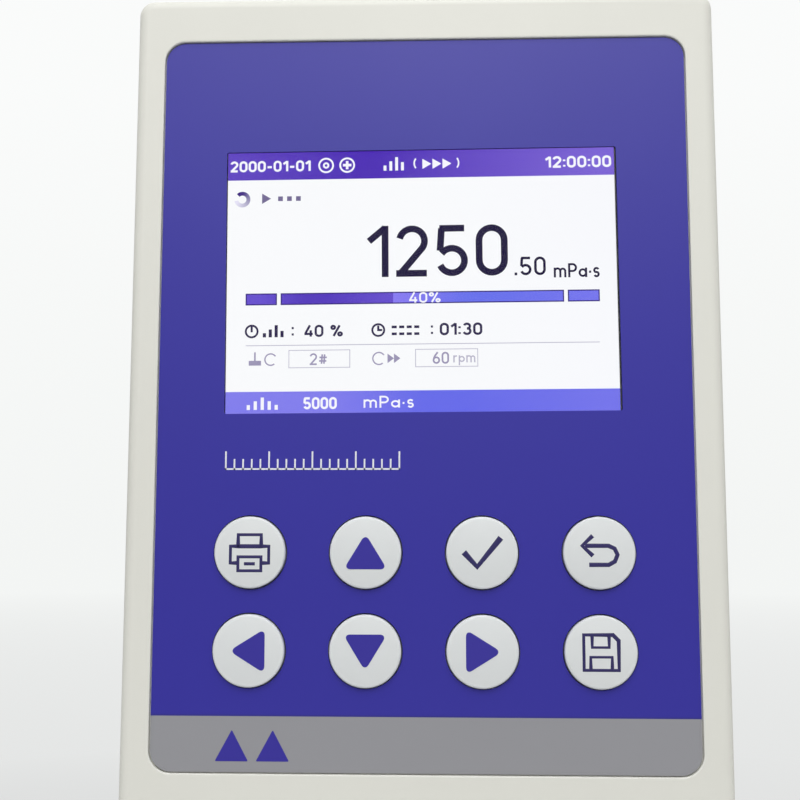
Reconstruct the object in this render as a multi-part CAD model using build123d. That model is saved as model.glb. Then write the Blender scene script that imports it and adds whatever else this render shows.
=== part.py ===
from build123d import *
import math
import os

# Rotational viscometer on its levelling stand. Millimetres, +Z up, front towards -Y.
# Origin: on the bench, midway between the front and rear ends of the base.

# ---- fits and clearances ----
RUN = 0.05  # radial clearance of a running fit
FREE = 0.3  # gap beside a piece that moves freely
KEY_GAP = 0.25  # radial gap round a key cap
TOUCH = 0.1  # gap where a moving piece stops against a face
BITE = 0.5  # how far two forms of one piece run into each other
BREAK = 0.6  # chamfer that takes the edge off machined and moulded pieces

# ---- base casting ----
FOOT_X = 110.0  # front feet, each side of the middle
FOOT_Y = 120.0  # feet, in front of and behind the origin
FOOT_END_R = 20.0  # rounded ends of the three legs
ARM_ROOT_R = 28.0  # half width of a leg at the hub
HUB_R = 40.0
BASE_RAISE = 17.0  # underside of the casting above the bench
HUB_H = 28.0
ARM_TIP_H = 19.0
CROTCH_R = 16.0
BASE_EDGE = 3.0  # rounding of the casting's upper edge
BASE_WALL = 7.0
BASE_POCKET = 10.0  # depth of the pockets underneath
HUB_RIB_R = 27.0
RIB_T = 5.0
FOOT_BOSS_R = 13.0
COLUMN_BOSS_R = 18.0
COLUMN_BOSS_H = 5.0

# ---- flutes of all the knobs ----
KNOB_EDGE = 1.5
FLUTE_SHARE = 0.42  # a flute's radius in half pitches of the rim
FLUTE_OUT = 0.45  # a flute's centre outside the rim, in its own radii

# ---- levelling feet ----
PAD_R = 13.0
PAD_H = 4.0
PAD_PIN_R = 3.0
PAD_PIN_H = 3.0
FOOT_KNOB_R = 16.0
FOOT_KNOB_H = 9.0
FOOT_STUD_R = 4.0
FOOT_STUD_L = 14.5
FOOT_HOLE_EXTRA = 3.6  # room above the stud for its travel
FOOT_FLUTES = 12

# ---- column and rack ----
COLUMN_Y = 70.0
COLUMN_R = 10.0
COLUMN_SEAT = 16.0  # depth of the column in the hub
COLUMN_ABOVE = 6.0  # column left above the lift block at full height
COLUMN_CHAMFER = 1.0
CAP_H = 8.0
CAP_EDGE = 4.8
CAP_PLUG_R = 6.5
CAP_PLUG_L = 8.0
STUD_R = 5.0  # threaded end that holds the column down
STUD_L = 15.0
NUT_FLATS = 17.0
NUT_H = 8.0
LIFT_DOWN = 20.0
LIFT_UP = 120.0
MODULE = 1.0
PRESSURE_ANGLE = math.radians(20)
PINION_TEETH = 16
PINION_W = 15.0
BACKLASH = 0.16
RACK_FLAT = 2.1  # depth of the rack's tips under the column's round
RACK_ADDENDUM = 0.9
RACK_DEDENDUM = 1.25
PINION_ADDENDUM = 1.0
PINION_DEDENDUM = 1.2
RACK_RUNOUT = 10.0

# ---- lift block ----
BLOCK_W = 44.0
BLOCK_FRONT = 14.0  # column axis to the block's front face
BLOCK_BACK = 29.0  # column axis to the block's rear face
BLOCK_H = 56.0
BLOCK_CORNER_R = 6.0
BLOCK_EDGE = 1.5
NOSE_R = 15.0
NOSE_L = 32.0
NOSE_LIP = 1.0
PINION_BELOW = 12.0  # pinion axis below the rod
TENSION_ABOVE = 16.0  # tension screw above the rod
BUSH_FLANGE_R = 13.0
BUSH_FLANGE_T = 2.5
PINION_SHAFT_R = 4.0
KNOB_R = 18.0
KNOB_H = 18.0
KNOB_FLUTES = 14
KNOB_SOCKET = 12.0
KNOB_OFF = 1.0  # gap between a bush flange and its knob
HAND_SCREW_R = 3.0
HAND_KNOB_R = 12.0
HAND_KNOB_H = 13.0
HAND_KNOB_OFF = 4.0
HAND_FLUTES = 8
BRAKE_PAD_R = 4.0
BRAKE_PAD_L = 4.0
LOCK_BACK = 12.0  # lock screw behind the nose's front end
LOCK_BOSS_R = 7.0
LOCK_BOSS_H = 3.0

# ---- head housing ----
HEAD_Z = 200.0  # underside of the head
HEAD_FRONT_Y = -105.0
FRONT_DEPTH = 27.0
REAR_DEPTH = 68.0
HEAD_CORNER_R = 3.0
FRONT_EDGE_R = 2.0
REAR_EDGE_R = 6.0
WALL = 3.0
FACE_T = 3.4  # front wall
LIP_L = 2.0  # tongue that enters the rear housing
LIP_T = 1.4
LIP_GAP = 0.1
SEAM = 0.6  # shadow line at the joint
SCREW_BOSS_R = 4.5
SCREW_INSET = 3.5  # boss axis from the inner walls
SCREW_R = 1.5
SCREW_BITE = 14.0
SCREW_HEAD_R = 2.9
SCREW_HEAD_H = 3.0
SCREW_SINK = 5.0
SCREW_SINK_GAP = 0.3

# ---- front panel ----
PANEL_W = 98.5
PANEL_H = 136.0
PANEL_CORNER_R = 3.8
PANEL_T = 0.5
PANEL_SINK = 0.4  # face of the overlay below the housing's face
PANEL_GAP = 0.25
MARGIN_SIDE = 5.75  # housing beyond the overlay
MARGIN_TOP = 9.0
MARGIN_BOTTOM = 14.0
SCREEN_W = 73.4
SCREEN_H = 49.9
SCREEN_X = -0.4
SCREEN_Z = 21.6  # above the overlay's centre
SCREEN_TURN = 0.38  # degrees, as the display sits in its frame
SCREEN_CORNER_R = 0.4
LCD_SIDE = 5.95  # module's frame beyond the picture
LCD_END = 3.3
LCD_T = 3.0
LCD_BEZEL = 1.2  # glass beyond the picture on each side
LCD_PINS = 4.0  # from the module to the main board
LENS_GAP = 0.15
KEY_R = 6.5
KEY_PITCH_X = 21.1
KEY_PITCH_Z = 17.6
KEY_ROW_Z = -29.0  # upper row, from the overlay's centre
KEY_PROUD = 0.9  # rim of a key above the overlay
KEY_DOME = 0.35
KEY_EDGE = 0.35
KEY_FLANGE_R = 7.8
KEY_FLANGE_T = 1.2
KEY_TRAVEL = 0.8
KEY_STEM_R = 1.7
KEY_STEM_L = 4.3
SWITCH_W = 6.0
STEM_END_GAP = 0.7  # under the stem of a key pressed home
SWITCH_WALL = 1.0
STEM_IN_SWITCH = 1.5  # end of a key's stem inside its switch
BOARD_T = 1.6
BOARD_POST_R = 2.5
KEY_BOARD_SIDE_GAP = 5.0  # key board to the side walls
KEY_BOARD_MARGIN = 9.0  # board beyond the key rows
BOARD_SIDE_GAP = 2.0  # main board to the side walls
MAIN_BOARD_H = 66.0
CHIP_W = 14.0
CHIP_T = 1.6
CHIP_INSET = 6.0  # parts in from the main board's edges
RIBBON_W = 24.0
RIBBON_H = 8.0
RIBBON_T = 6.0
TERMINAL_W = 18.0
TERMINAL_H = 6.0
TERMINAL_T = 5.0
CAPACITOR_R = 4.0
CAPACITOR_L = 8.0
POST_INSET = 3.0

# ---- measuring cell ----
SPINDLE_Y = -58.0
PLATE_W = 80.0
LOWER_PLATE_T = 6.0
LOWER_PLATE_FRONT = 27.0  # from the spindle axis
LOWER_PLATE_BACK = 28.0
PILLAR_R = 4.0
PILLAR_X = 34.0
PILLAR_Y = 23.0
PILLAR_L = 81.0
BRACKET_T = 5.0
BRACKET_FRONT = 29.0
BRACKET_FLANGE_T = 6.0
BRACKET_UP = 27.0
BRACKET_DOWN = 56.0
MOTOR_W = 42.0
MOTOR_H = 38.0
MOTOR_CORNER = 4.5
MOTOR_BOSS_R = 11.0
MOTOR_BOSS_H = 2.0
MOTOR_SHAFT_R = 2.5
MOTOR_SHAFT_IN = 12.0
DISC_R = 30.0
DISC_T = 1.0
DISC_WINDOWS = 12
WINDOW_L = 5.0
WINDOW_W = 4.0
WINDOW_RIM = 2.0
DRIVE_HUB_R = 8.0
DRIVE_HUB_H = 18.0
DRIVE_HUB_TOP = 10.0  # below the motor bracket
DRIVE_GRIP = 9.0  # motor shaft in the hub
PIVOT_R = 2.0
PIVOT_SOCKET = 6.0
DISC_SPACING = 22.0
SENSE_HUB_R = 6.0
SENSE_HUB_H = 8.0
POST_R = 1.0  # post that holds the spring's outer end
POST_AT = 19.0
POST_L = 11.0
SPRING_T = 0.6
SPRING_H = 3.0
SPRING_TURNS = 4
SPRING_SIDES = 16  # short flats in each of its turns
COLLET_T = 1.0
FORK_W = 12.0
FORK_H = 13.0
FORK_SLOT = 4.5
FORK_REACH = 4.5  # disc rim inside the fork
FORK_PAST = 1.5  # slot past the disc's rim
BUSH_R = 6.0
BUSH_H = 9.0
BUSH_BODY_R = 5.0

# ---- neck, guard and spindle ----
NECK_FLANGE_R = 24.0
NECK_FLANGE_T = 4.0
NECK_R = 22.0
NECK_H = 18.0
NECK_FLAT_X = 20.0
NECK_SPIGOT_R = 14.0
NECK_BORE_R = 8.0
GUARD_T = 2.0
GUARD_STRIP_W = 10.0
GUARD_BEND_R = 8.0
GUARD_L = 139.0
GUARD_SCREW_Z = 7.0  # above the neck's lower end
GUARD_SCREW_R = 2.0
GUARD_SCREW_BITE = 6.0
GUARD_HEAD_R = 4.0
GUARD_HEAD_H = 5.0
COUPLING_R = 4.0
COUPLING_L = 24.0
COUPLING_UP = 8.0  # coupling inside the neck
COUPLING_GRIP = 6.0
SPINDLE_NUT_R = 4.6
SPINDLE_NUT_H = 10.0
SPINDLE_R = 1.6
SPINDLE_L = 100.0
SPINDLE_DISC_R = 6.35
SPINDLE_DISC_T = 1.7
SPINDLE_TAIL = 2.0
MARK_ABOVE = 43.0  # immersion mark above the disc
MARK_W = 1.0
MARK_DEPTH = 0.3

# ---- rod, level and rear panel ----
ROD_ABOVE = 90.0  # rod axis above the head's underside
ROD_R = 7.0
ROD_FLANGE_R = 20.0
ROD_FLANGE_T = 5.0
ROD_END_GAP = 0.5
ROD_PAST_NOSE = 1.0  # rod beyond the nose, inside the block
LEVEL_Y = -45.0
LEVEL_R = 9.5
LEVEL_DEEP = 8.0
LEVEL_FLANGE_R = 12.0
LEVEL_FLANGE_T = 1.2
LEVEL_WALL = 1.5
LEVEL_DOME = 1.0
REAR_PANEL_SIDE = 7.0  # housing beyond the rear panel
REAR_PANEL_H = 28.0
REAR_PANEL_T = 1.2
REAR_PANEL_Z = 20.0  # its centre above the head's underside
REAR_PANEL_R = 2.0
REAR_CUT_EDGE = 3.0
SWITCH_X = -36.5
JACK_X = -20.5
USB_X = -7.0
SERIAL_X = 15.2
PROBE_X = 38.2
ROCKER_W = 11.0
ROCKER_H = 17.0
ROCKER_ANGLE = 9.0
ROCKER_DEEP = 4.0
ROCKER_TIP = 2.2  # ends of the rocker above its axle
ROCKER_DRAFT = 0.4
ROCKER_AXLE_R = 1.5
ROCKER_AXLE_END = 0.5  # axle inside the switch's side walls
SWITCH_BODY_W = 13.5
SWITCH_BODY_H = 19.5
SWITCH_BEZEL_W = 15.0
SWITCH_BEZEL_H = 21.0
SWITCH_BEZEL_T = 2.0
SWITCH_DEEP = 14.0
JACK_R = 5.5
JACK_BORE_R = 2.8
JACK_PIN_R = 1.0
JACK_DEEP = 12.0
SOCKET_PROUD = 1.5
SOCKET_BACK = 2.0  # wall behind a socket's contacts
USB_W = 12.0
USB_H = 11.0
USB_HOLE_W = 8.6
USB_HOLE_H = 7.8
USB_TONGUE_W = 5.6
USB_TONGUE_H = 3.2
USB_TONGUE_IN = 1.0  # tongue's end inside the mouth
USB_DEEP = 14.0
SERIAL_W = 30.8
SERIAL_H = 12.5
SERIAL_FLANGE_T = 1.0
D_W = 16.9
D_H = 8.3
D_SLANT = 1.4
D_CORNER = 2.0
D_PROUD = 5.8
SERIAL_DEEP = 10.0
SERIAL_BODY_W = 19.0
SERIAL_BODY_H = 10.5
PROBE_R = 6.0
PROBE_NUT_R = 7.0
PROBE_NUT_T = 2.2
PROBE_PROUD = 5.0
PROBE_BORE_R = 4.4
PROBE_BORE_L = 3.0
PROBE_DEEP = 10.0

# ---- worked out from the sizes above ----
ROD_Z = HEAD_Z + ROD_ABOVE
HEAD_W = PANEL_W + 2 * MARGIN_SIDE
HEAD_H = MARGIN_BOTTOM + PANEL_H + MARGIN_TOP
HEAD_MID_Z = HEAD_Z + HEAD_H / 2
HEAD_TOP_Z = HEAD_Z + HEAD_H
SEAM_Y = HEAD_FRONT_Y + FRONT_DEPTH
HEAD_REAR_Y = SEAM_Y + REAR_DEPTH
KEY_BOARD_W = HEAD_W - 2 * (WALL + KEY_BOARD_SIDE_GAP)
MAIN_BOARD_W = HEAD_W - 2 * (WALL + BOARD_SIDE_GAP)
REAR_PANEL_W = HEAD_W - 2 * REAR_PANEL_SIDE
LCD_W = SCREEN_W + 2 * LCD_SIDE
LCD_H = SCREEN_H + 2 * LCD_END
SWITCH_H = STEM_IN_SWITCH + KEY_TRAVEL + STEM_END_GAP + SWITCH_WALL
PANEL_Z = HEAD_Z + MARGIN_BOTTOM + PANEL_H / 2
PANEL_FACE_Y = HEAD_FRONT_Y + PANEL_SINK
PANEL_BACK_Y = PANEL_FACE_Y + PANEL_T
FACE_BACK_Y = HEAD_FRONT_Y + FACE_T
FLOOR_Z = HEAD_Z + WALL
REAR_WALL_Y = HEAD_REAR_Y - WALL
HUB_TOP = BASE_RAISE + HUB_H
COLUMN_BOTTOM = HUB_TOP + COLUMN_BOSS_H - COLUMN_SEAT
WEB_BOTTOM = BASE_RAISE + BASE_POCKET  # web that the column nut pulls against
BLOCK_BOTTOM = ROD_Z - BLOCK_H / 2
BLOCK_TOP = ROD_Z + BLOCK_H / 2
COLUMN_TOP = BLOCK_TOP + LIFT_UP + COLUMN_ABOVE
PINION_Z = ROD_Z - PINION_BELOW
PINION_PITCH_R = MODULE * PINION_TEETH / 2
PITCH = math.pi * MODULE
RACK_TIP_Y = COLUMN_Y + COLUMN_R - RACK_FLAT
RACK_PITCH_Y = RACK_TIP_Y - RACK_ADDENDUM * MODULE
PINION_Y = RACK_PITCH_Y + PINION_PITCH_R
PINION_TIP_R = PINION_PITCH_R + PINION_ADDENDUM * MODULE
CHAMBER_R = PINION_TIP_R + FREE
CHAMBER_HALF = PINION_W / 2 + 3 * FREE
NOSE_Y = COLUMN_Y - BLOCK_FRONT - NOSE_L
ROD_END_Y = COLUMN_Y - BLOCK_FRONT + ROD_PAST_NOSE
LOWER_PLATE_Z = FLOOR_Z
PILLAR_Z = LOWER_PLATE_Z + LOWER_PLATE_T
BRACKET_Z = PILLAR_Z + PILLAR_L
DRIVE_TOP = BRACKET_Z - DRIVE_HUB_TOP
DRIVE_BOTTOM = DRIVE_TOP - DRIVE_HUB_H
SENSE_DISC_Z = DRIVE_BOTTOM - DISC_SPACING
NECK_BOTTOM = HEAD_Z - NECK_H
COUPLING_TOP = NECK_BOTTOM + COUPLING_UP
COUPLING_BOTTOM = COUPLING_TOP - COUPLING_L
SPINDLE_BOTTOM = COUPLING_BOTTOM - SPINDLE_L
NECK_WEB_Z = HEAD_Z - NECK_FLANGE_T
GUARD_TOP = NECK_WEB_Z - TOUCH
GUARD_BOTTOM = GUARD_TOP - GUARD_L
REAR_Z = HEAD_Z + REAR_PANEL_Z
PANEL_OUT_Y = HEAD_REAR_Y + REAR_PANEL_T
KEY_COLUMNS = [(i - 1.5) * KEY_PITCH_X for i in range(4)]
KEY_ROWS = [PANEL_Z + KEY_ROW_Z - i * KEY_PITCH_Z for i in range(2)]
KEY_NAMES = ["print", "up", "ok", "back", "left", "down", "right", "save"]
FEET = {
    "front_left": (-FOOT_X, -FOOT_Y),
    "front_right": (FOOT_X, -FOOT_Y),
    "rear": (0.0, FOOT_Y),
}


# ---- helpers: a flat outline given a thickness along one axis ----
def slab_x(outline, x0, x1):
    return extrude(Plane.YZ.offset(x0) * outline, amount=x1 - x0)


def slab_y(outline, y0, y1):
    return extrude(Plane.XZ.offset(-y1) * outline, amount=y1 - y0)


def slab_z(outline, z0, z1):
    return extrude(Plane.XY.offset(z0) * outline, amount=z1 - z0)


def round_x(y, z, r, x0, x1):
    return slab_x(Pos(y, z) * Circle(r), x0, x1)


def round_y(x, z, r, y0, y1):
    return slab_y(Pos(x, z) * Circle(r), y0, y1)


def round_z(x, y, r, z0, z1):
    return slab_z(Pos(x, y) * Circle(r), z0, z1)


def turned(profile):
    """A turned piece on the Z axis, from (radius, height) points."""
    return revolve(make_face(Plane.XZ * Polyline(*profile, close=True)), Axis.Z)


def fluted_knob(radius, height, flutes):
    """A knob on the Z axis with hollow flutes round its rim, its outer end up."""
    body = slab_z(Circle(radius), 0, height)
    body = fillet(body.edges().group_by(Axis.Z)[-1], KNOB_EDGE)
    flute_r = math.pi * radius / flutes * FLUTE_SHARE
    cutter = slab_z(Circle(flute_r), 0, height)
    for place in PolarLocations(radius + flute_r * FLUTE_OUT, flutes):
        body -= place * cutter
    return body


# ---- stand ----
def leg_outline(end):
    """A tapering leg from the hub to a rounded end, as the two circles and their tangents."""
    dx, dy = end[0], end[1] - COLUMN_Y
    length = math.hypot(dx, dy)
    along = math.atan2(dy, dx)
    lean = math.acos((ARM_ROOT_R - FOOT_END_R) / length)
    points = []
    for turn, (x, y), r in (
        (lean, (0.0, COLUMN_Y), ARM_ROOT_R),
        (lean, end, FOOT_END_R),
        (-lean, end, FOOT_END_R),
        (-lean, (0.0, COLUMN_Y), ARM_ROOT_R),
    ):
        points.append((x + r * math.cos(along + turn), y + r * math.sin(along + turn)))
    bar = make_face(Polyline(*points, close=True))
    return bar + Pos(*end) * Circle(FOOT_END_R) + Pos(0, COLUMN_Y) * Circle(ARM_ROOT_R)


def base_outline():
    plan = Pos(0, COLUMN_Y) * Circle(HUB_R)
    for end in FEET.values():
        plan += leg_outline(end)
    crotch = plan.vertices().filter_by(lambda v: abs(v.X) < FREE and v.Y < COLUMN_Y - HUB_R / 2)
    return fillet(crotch, CROTCH_R) if crotch else plan


def base_casting():
    plan = base_outline()
    reach = FOOT_Y + FOOT_END_R
    slope_y = COLUMN_Y - HUB_R
    fall = (HUB_H - ARM_TIP_H) / (slope_y + reach)
    past = reach + BITE
    side = FOOT_X + FOOT_END_R + BITE
    body = slab_z(plan, BASE_RAISE, HUB_TOP)
    profile = Polyline(
        (-past, BASE_RAISE),
        (past, BASE_RAISE),
        (past, HUB_TOP),
        (slope_y, HUB_TOP),
        (-past, HUB_TOP - fall * (past + slope_y)),
        close=True,
    )
    body &= slab_x(make_face(profile), -side, side)
    rim = body.faces().filter_by(lambda f: f.normal_at().Z > 0.5).edges()
    rim = rim.filter_by(lambda e: abs(e.center().Y - slope_y) > FREE / 10)
    body = fillet(rim, BASE_EDGE)
    boss = round_z(0, COLUMN_Y, COLUMN_BOSS_R, HUB_TOP - BITE, HUB_TOP + COLUMN_BOSS_H)
    body += chamfer(boss.edges().group_by(Axis.Z)[-1], BREAK)
    pockets = offset(plan, -BASE_WALL)
    for x, y in FEET.values():
        pockets -= Pos(x, y) * Circle(FOOT_BOSS_R)
    pockets -= Pos(0, COLUMN_Y) * (Circle(HUB_RIB_R + RIB_T) - Circle(HUB_RIB_R))
    body -= slab_z(pockets, BASE_RAISE, WEB_BOTTOM)
    for x, y in FEET.values():
        top = PAD_H + FOOT_KNOB_H + FOOT_STUD_L + FOOT_HOLE_EXTRA
        body -= round_z(x, y, FOOT_STUD_R + RUN, BASE_RAISE, top)
    body -= round_z(0, COLUMN_Y, COLUMN_R, COLUMN_BOTTOM, HUB_TOP + COLUMN_BOSS_H)
    body -= round_z(0, COLUMN_Y, STUD_R, BASE_RAISE, COLUMN_BOTTOM)
    return body


def column():
    """A ground bar, its back flattened and cut with rack teeth over the lift's travel."""
    body = round_z(0, COLUMN_Y, COLUMN_R, COLUMN_BOTTOM, COLUMN_TOP)
    body = chamfer(body.edges().group_by(Axis.Z)[-1], COLUMN_CHAMFER)
    body += round_z(0, COLUMN_Y, STUD_R, COLUMN_BOTTOM - STUD_L, COLUMN_BOTTOM)
    body -= round_z(0, COLUMN_Y, CAP_PLUG_R, COLUMN_TOP - CAP_PLUG_L, COLUMN_TOP)
    slant = math.tan(PRESSURE_ANGLE)
    half = PITCH / 4 + BACKLASH / 4
    at_tip = half + RACK_ADDENDUM * MODULE * slant
    at_root = half - RACK_DEDENDUM * MODULE * slant
    root_y = RACK_PITCH_Y - RACK_DEDENDUM * MODULE
    below = math.ceil((LIFT_DOWN + RACK_RUNOUT) / PITCH)
    above = math.ceil((LIFT_UP + RACK_RUNOUT) / PITCH)
    outside = COLUMN_Y + COLUMN_R + BITE
    teeth = [(outside, PINION_Z - below * PITCH - at_tip)]
    for i in range(-below, above + 1):
        z = PINION_Z + i * PITCH
        teeth += [(RACK_TIP_Y, z - at_tip), (root_y, z - at_root)]
        teeth += [(root_y, z + at_root), (RACK_TIP_Y, z + at_tip)]
    teeth.append((outside, PINION_Z + above * PITCH + at_tip))
    return body - slab_x(make_face(Polyline(*teeth, close=True)), -COLUMN_R, COLUMN_R)


def column_nut():
    nut = RegularPolygon(NUT_FLATS / 2, 6, major_radius=False)
    return slab_z(Pos(0, COLUMN_Y) * (nut - Circle(STUD_R)), WEB_BOTTOM - NUT_H, WEB_BOTTOM)


def column_cap():
    cap = round_z(0, COLUMN_Y, COLUMN_R, COLUMN_TOP, COLUMN_TOP + CAP_H)
    cap = fillet(cap.edges().group_by(Axis.Z)[-1], CAP_EDGE)
    return cap + round_z(0, COLUMN_Y, CAP_PLUG_R, COLUMN_TOP - CAP_PLUG_L, COLUMN_TOP)


def foot_pad(x, y):
    pad = chamfer(round_z(x, y, PAD_R, 0, PAD_H).edges().group_by(Axis.Z)[0], BREAK)
    return pad + round_z(x, y, PAD_PIN_R, PAD_H, PAD_H + PAD_PIN_H)


def foot_screw(x, y):
    knob = Pos(x, y, PAD_H) * fluted_knob(FOOT_KNOB_R, FOOT_KNOB_H, FOOT_FLUTES)
    top = PAD_H + FOOT_KNOB_H
    knob += round_z(x, y, FOOT_STUD_R, top, top + FOOT_STUD_L)
    return knob - round_z(x, y, PAD_PIN_R + RUN, PAD_H, PAD_H + PAD_PIN_H + FREE)


# ---- lift ----
def lift_block():
    mid_y = COLUMN_Y + (BLOCK_BACK - BLOCK_FRONT) / 2
    plan = RectangleRounded(BLOCK_W, BLOCK_FRONT + BLOCK_BACK, BLOCK_CORNER_R)
    body = slab_z(Pos(0, mid_y) * plan, BLOCK_BOTTOM, BLOCK_TOP)
    body = chamfer(body.edges().group_by(Axis.Z)[0] + body.edges().group_by(Axis.Z)[-1], BLOCK_EDGE)
    nose = round_y(0, ROD_Z, NOSE_R, NOSE_Y, COLUMN_Y - BLOCK_FRONT + BITE)
    nose = chamfer(nose.edges().group_by(Axis.Y)[0], NOSE_LIP)
    body += nose
    lock_y = NOSE_Y + LOCK_BACK
    lock_top = ROD_Z + NOSE_R + LOCK_BOSS_H
    body += round_z(0, lock_y, LOCK_BOSS_R, ROD_Z + ROD_R + BITE, lock_top)
    body -= round_z(0, COLUMN_Y, COLUMN_R + RUN, BLOCK_BOTTOM, BLOCK_TOP)
    body -= round_y(0, ROD_Z, ROD_R + RUN, NOSE_Y, ROD_END_Y + ROD_END_GAP)
    body -= round_z(0, lock_y, HAND_SCREW_R + RUN, ROD_Z, lock_top)
    body -= round_x(PINION_Y, PINION_Z, CHAMBER_R, -BLOCK_W / 2, BLOCK_W / 2)
    tension_z = ROD_Z + TENSION_ABOVE
    pad_out = COLUMN_R + FREE + BRAKE_PAD_L
    body -= round_x(COLUMN_Y, tension_z, BRAKE_PAD_R, -pad_out, 0)
    body -= round_x(COLUMN_Y, tension_z, HAND_SCREW_R + RUN, -BLOCK_W / 2, 0)
    return body


def pinion_bushes():
    """The two flanged bushes that close the pinion's chamber and carry its shaft."""
    bushes = []
    for side in (-1, 1):
        ends = sorted((side * CHAMBER_HALF, side * BLOCK_W / 2))
        bush = round_x(PINION_Y, PINION_Z, CHAMBER_R, *ends)
        ends = sorted((side * BLOCK_W / 2, side * (BLOCK_W / 2 + BUSH_FLANGE_T)))
        bush += round_x(PINION_Y, PINION_Z, BUSH_FLANGE_R, *ends)
        bush -= round_x(PINION_Y, PINION_Z, PINION_SHAFT_R + RUN, -BLOCK_W, BLOCK_W)
        bush -= round_z(0, COLUMN_Y, COLUMN_R + RUN, BLOCK_BOTTOM, BLOCK_TOP)
        bushes.append(bush)
    return Compound(bushes)


def involute(angle):
    return math.tan(angle) - angle


def pinion_outline():
    """Involute teeth, one of them pointing at the rack."""
    base_r = PINION_PITCH_R * math.cos(PRESSURE_ANGLE)
    root_r = PINION_PITCH_R - PINION_DEDENDUM * MODULE
    at_pitch = (PITCH / 2 - BACKLASH / 2) / (2 * PINION_PITCH_R) + involute(PRESSURE_ANGLE)
    flank = [(root_r, at_pitch)]
    for step in range(4):
        r = base_r + (PINION_TIP_R - base_r) * step / 3
        flank.append((r, at_pitch - involute(math.acos(base_r / r))))
    points = []
    for i in range(PINION_TEETH):
        middle = math.pi + 2 * math.pi * i / PINION_TEETH
        sides = [(r, middle - a) for r, a in flank] + [(r, middle + a) for r, a in reversed(flank)]
        points += [(r * math.cos(a), r * math.sin(a)) for r, a in sides]
    return make_face(Polyline(*points, close=True))


def shaft_half():
    return BLOCK_W / 2 + BUSH_FLANGE_T + KNOB_OFF + KNOB_SOCKET


def pinion_shaft():
    teeth = slab_x(Pos(PINION_Y, PINION_Z) * pinion_outline(), -PINION_W / 2, PINION_W / 2)
    return teeth + round_x(PINION_Y, PINION_Z, PINION_SHAFT_R, -shaft_half(), shaft_half())


def lift_knob(side):
    knob = fluted_knob(KNOB_R, KNOB_H, KNOB_FLUTES) - slab_z(Circle(PINION_SHAFT_R), 0, KNOB_SOCKET)
    at = side * (BLOCK_W / 2 + BUSH_FLANGE_T + KNOB_OFF)
    return Pos(at, PINION_Y, PINION_Z) * Rot(0, side * 90, 0) * knob


def hand_screw(length):
    """A moulded knob on its screw: the screw's tip is at zero, and the knob ends at length."""
    screw = slab_z(Circle(HAND_SCREW_R), 0, length)
    return screw + Pos(0, 0, length - HAND_KNOB_H) * fluted_knob(HAND_KNOB_R, HAND_KNOB_H, HAND_FLUTES)


def tension_screw():
    tip = COLUMN_R + FREE + BRAKE_PAD_L + TOUCH
    length = BLOCK_W / 2 - tip + HAND_KNOB_OFF + HAND_KNOB_H
    return Pos(-tip, COLUMN_Y, ROD_Z + TENSION_ABOVE) * Rot(0, -90, 0) * hand_screw(length)


def lock_screw():
    tip = ROD_Z + ROD_R + FREE
    length = ROD_Z + NOSE_R + LOCK_BOSS_H - tip + HAND_KNOB_OFF + HAND_KNOB_H
    return Pos(0, NOSE_Y + LOCK_BACK, tip) * hand_screw(length)


def brake_pad():
    near = COLUMN_R + FREE
    return round_x(COLUMN_Y, ROD_Z + TENSION_ABOVE, BRAKE_PAD_R, -near - BRAKE_PAD_L, -near)


# ---- head housing ----
def head_rect(inset, corner):
    return Pos(0, HEAD_MID_Z) * RectangleRounded(HEAD_W - 2 * inset, HEAD_H - 2 * inset, corner)


def corner_places(x, low, high):
    return [(side * x, z) for side in (-1, 1) for z in (low, high)]


HOUSING_SCREWS = corner_places(
    HEAD_W / 2 - WALL - SCREW_INSET,
    HEAD_Z + WALL + SCREW_INSET,
    HEAD_TOP_Z - WALL - SCREW_INSET,
)
KEY_BOARD_LOW = KEY_ROWS[-1] - KEY_BOARD_MARGIN
KEY_BOARD_HIGH = KEY_ROWS[0] + KEY_BOARD_MARGIN
KEY_BOARD_POSTS = corner_places(
    KEY_BOARD_W / 2 - POST_INSET, KEY_BOARD_LOW + POST_INSET, KEY_BOARD_HIGH - POST_INSET
)
SCREEN_MID_Z = PANEL_Z + SCREEN_Z
MAIN_BOARD_POSTS = corner_places(
    MAIN_BOARD_W / 2 - POST_INSET,
    SCREEN_MID_Z - MAIN_BOARD_H / 2 + POST_INSET,
    SCREEN_MID_Z + MAIN_BOARD_H / 2 - POST_INSET,
)
KEY_FLANGE_Y = FACE_BACK_Y + TOUCH
STEM_END_Y = KEY_FLANGE_Y + KEY_FLANGE_T + KEY_STEM_L
SWITCH_FRONT_Y = STEM_END_Y - STEM_IN_SWITCH
KEY_BOARD_Y = SWITCH_FRONT_Y + SWITCH_H
MAIN_BOARD_Y = FACE_BACK_Y + LCD_T + LCD_PINS


def screen_outline(grow):
    outline = RectangleRounded(SCREEN_W + 2 * grow, SCREEN_H + 2 * grow, SCREEN_CORNER_R)
    return Pos(SCREEN_X, SCREEN_MID_Z) * Rot(0, 0, SCREEN_TURN) * outline


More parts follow.
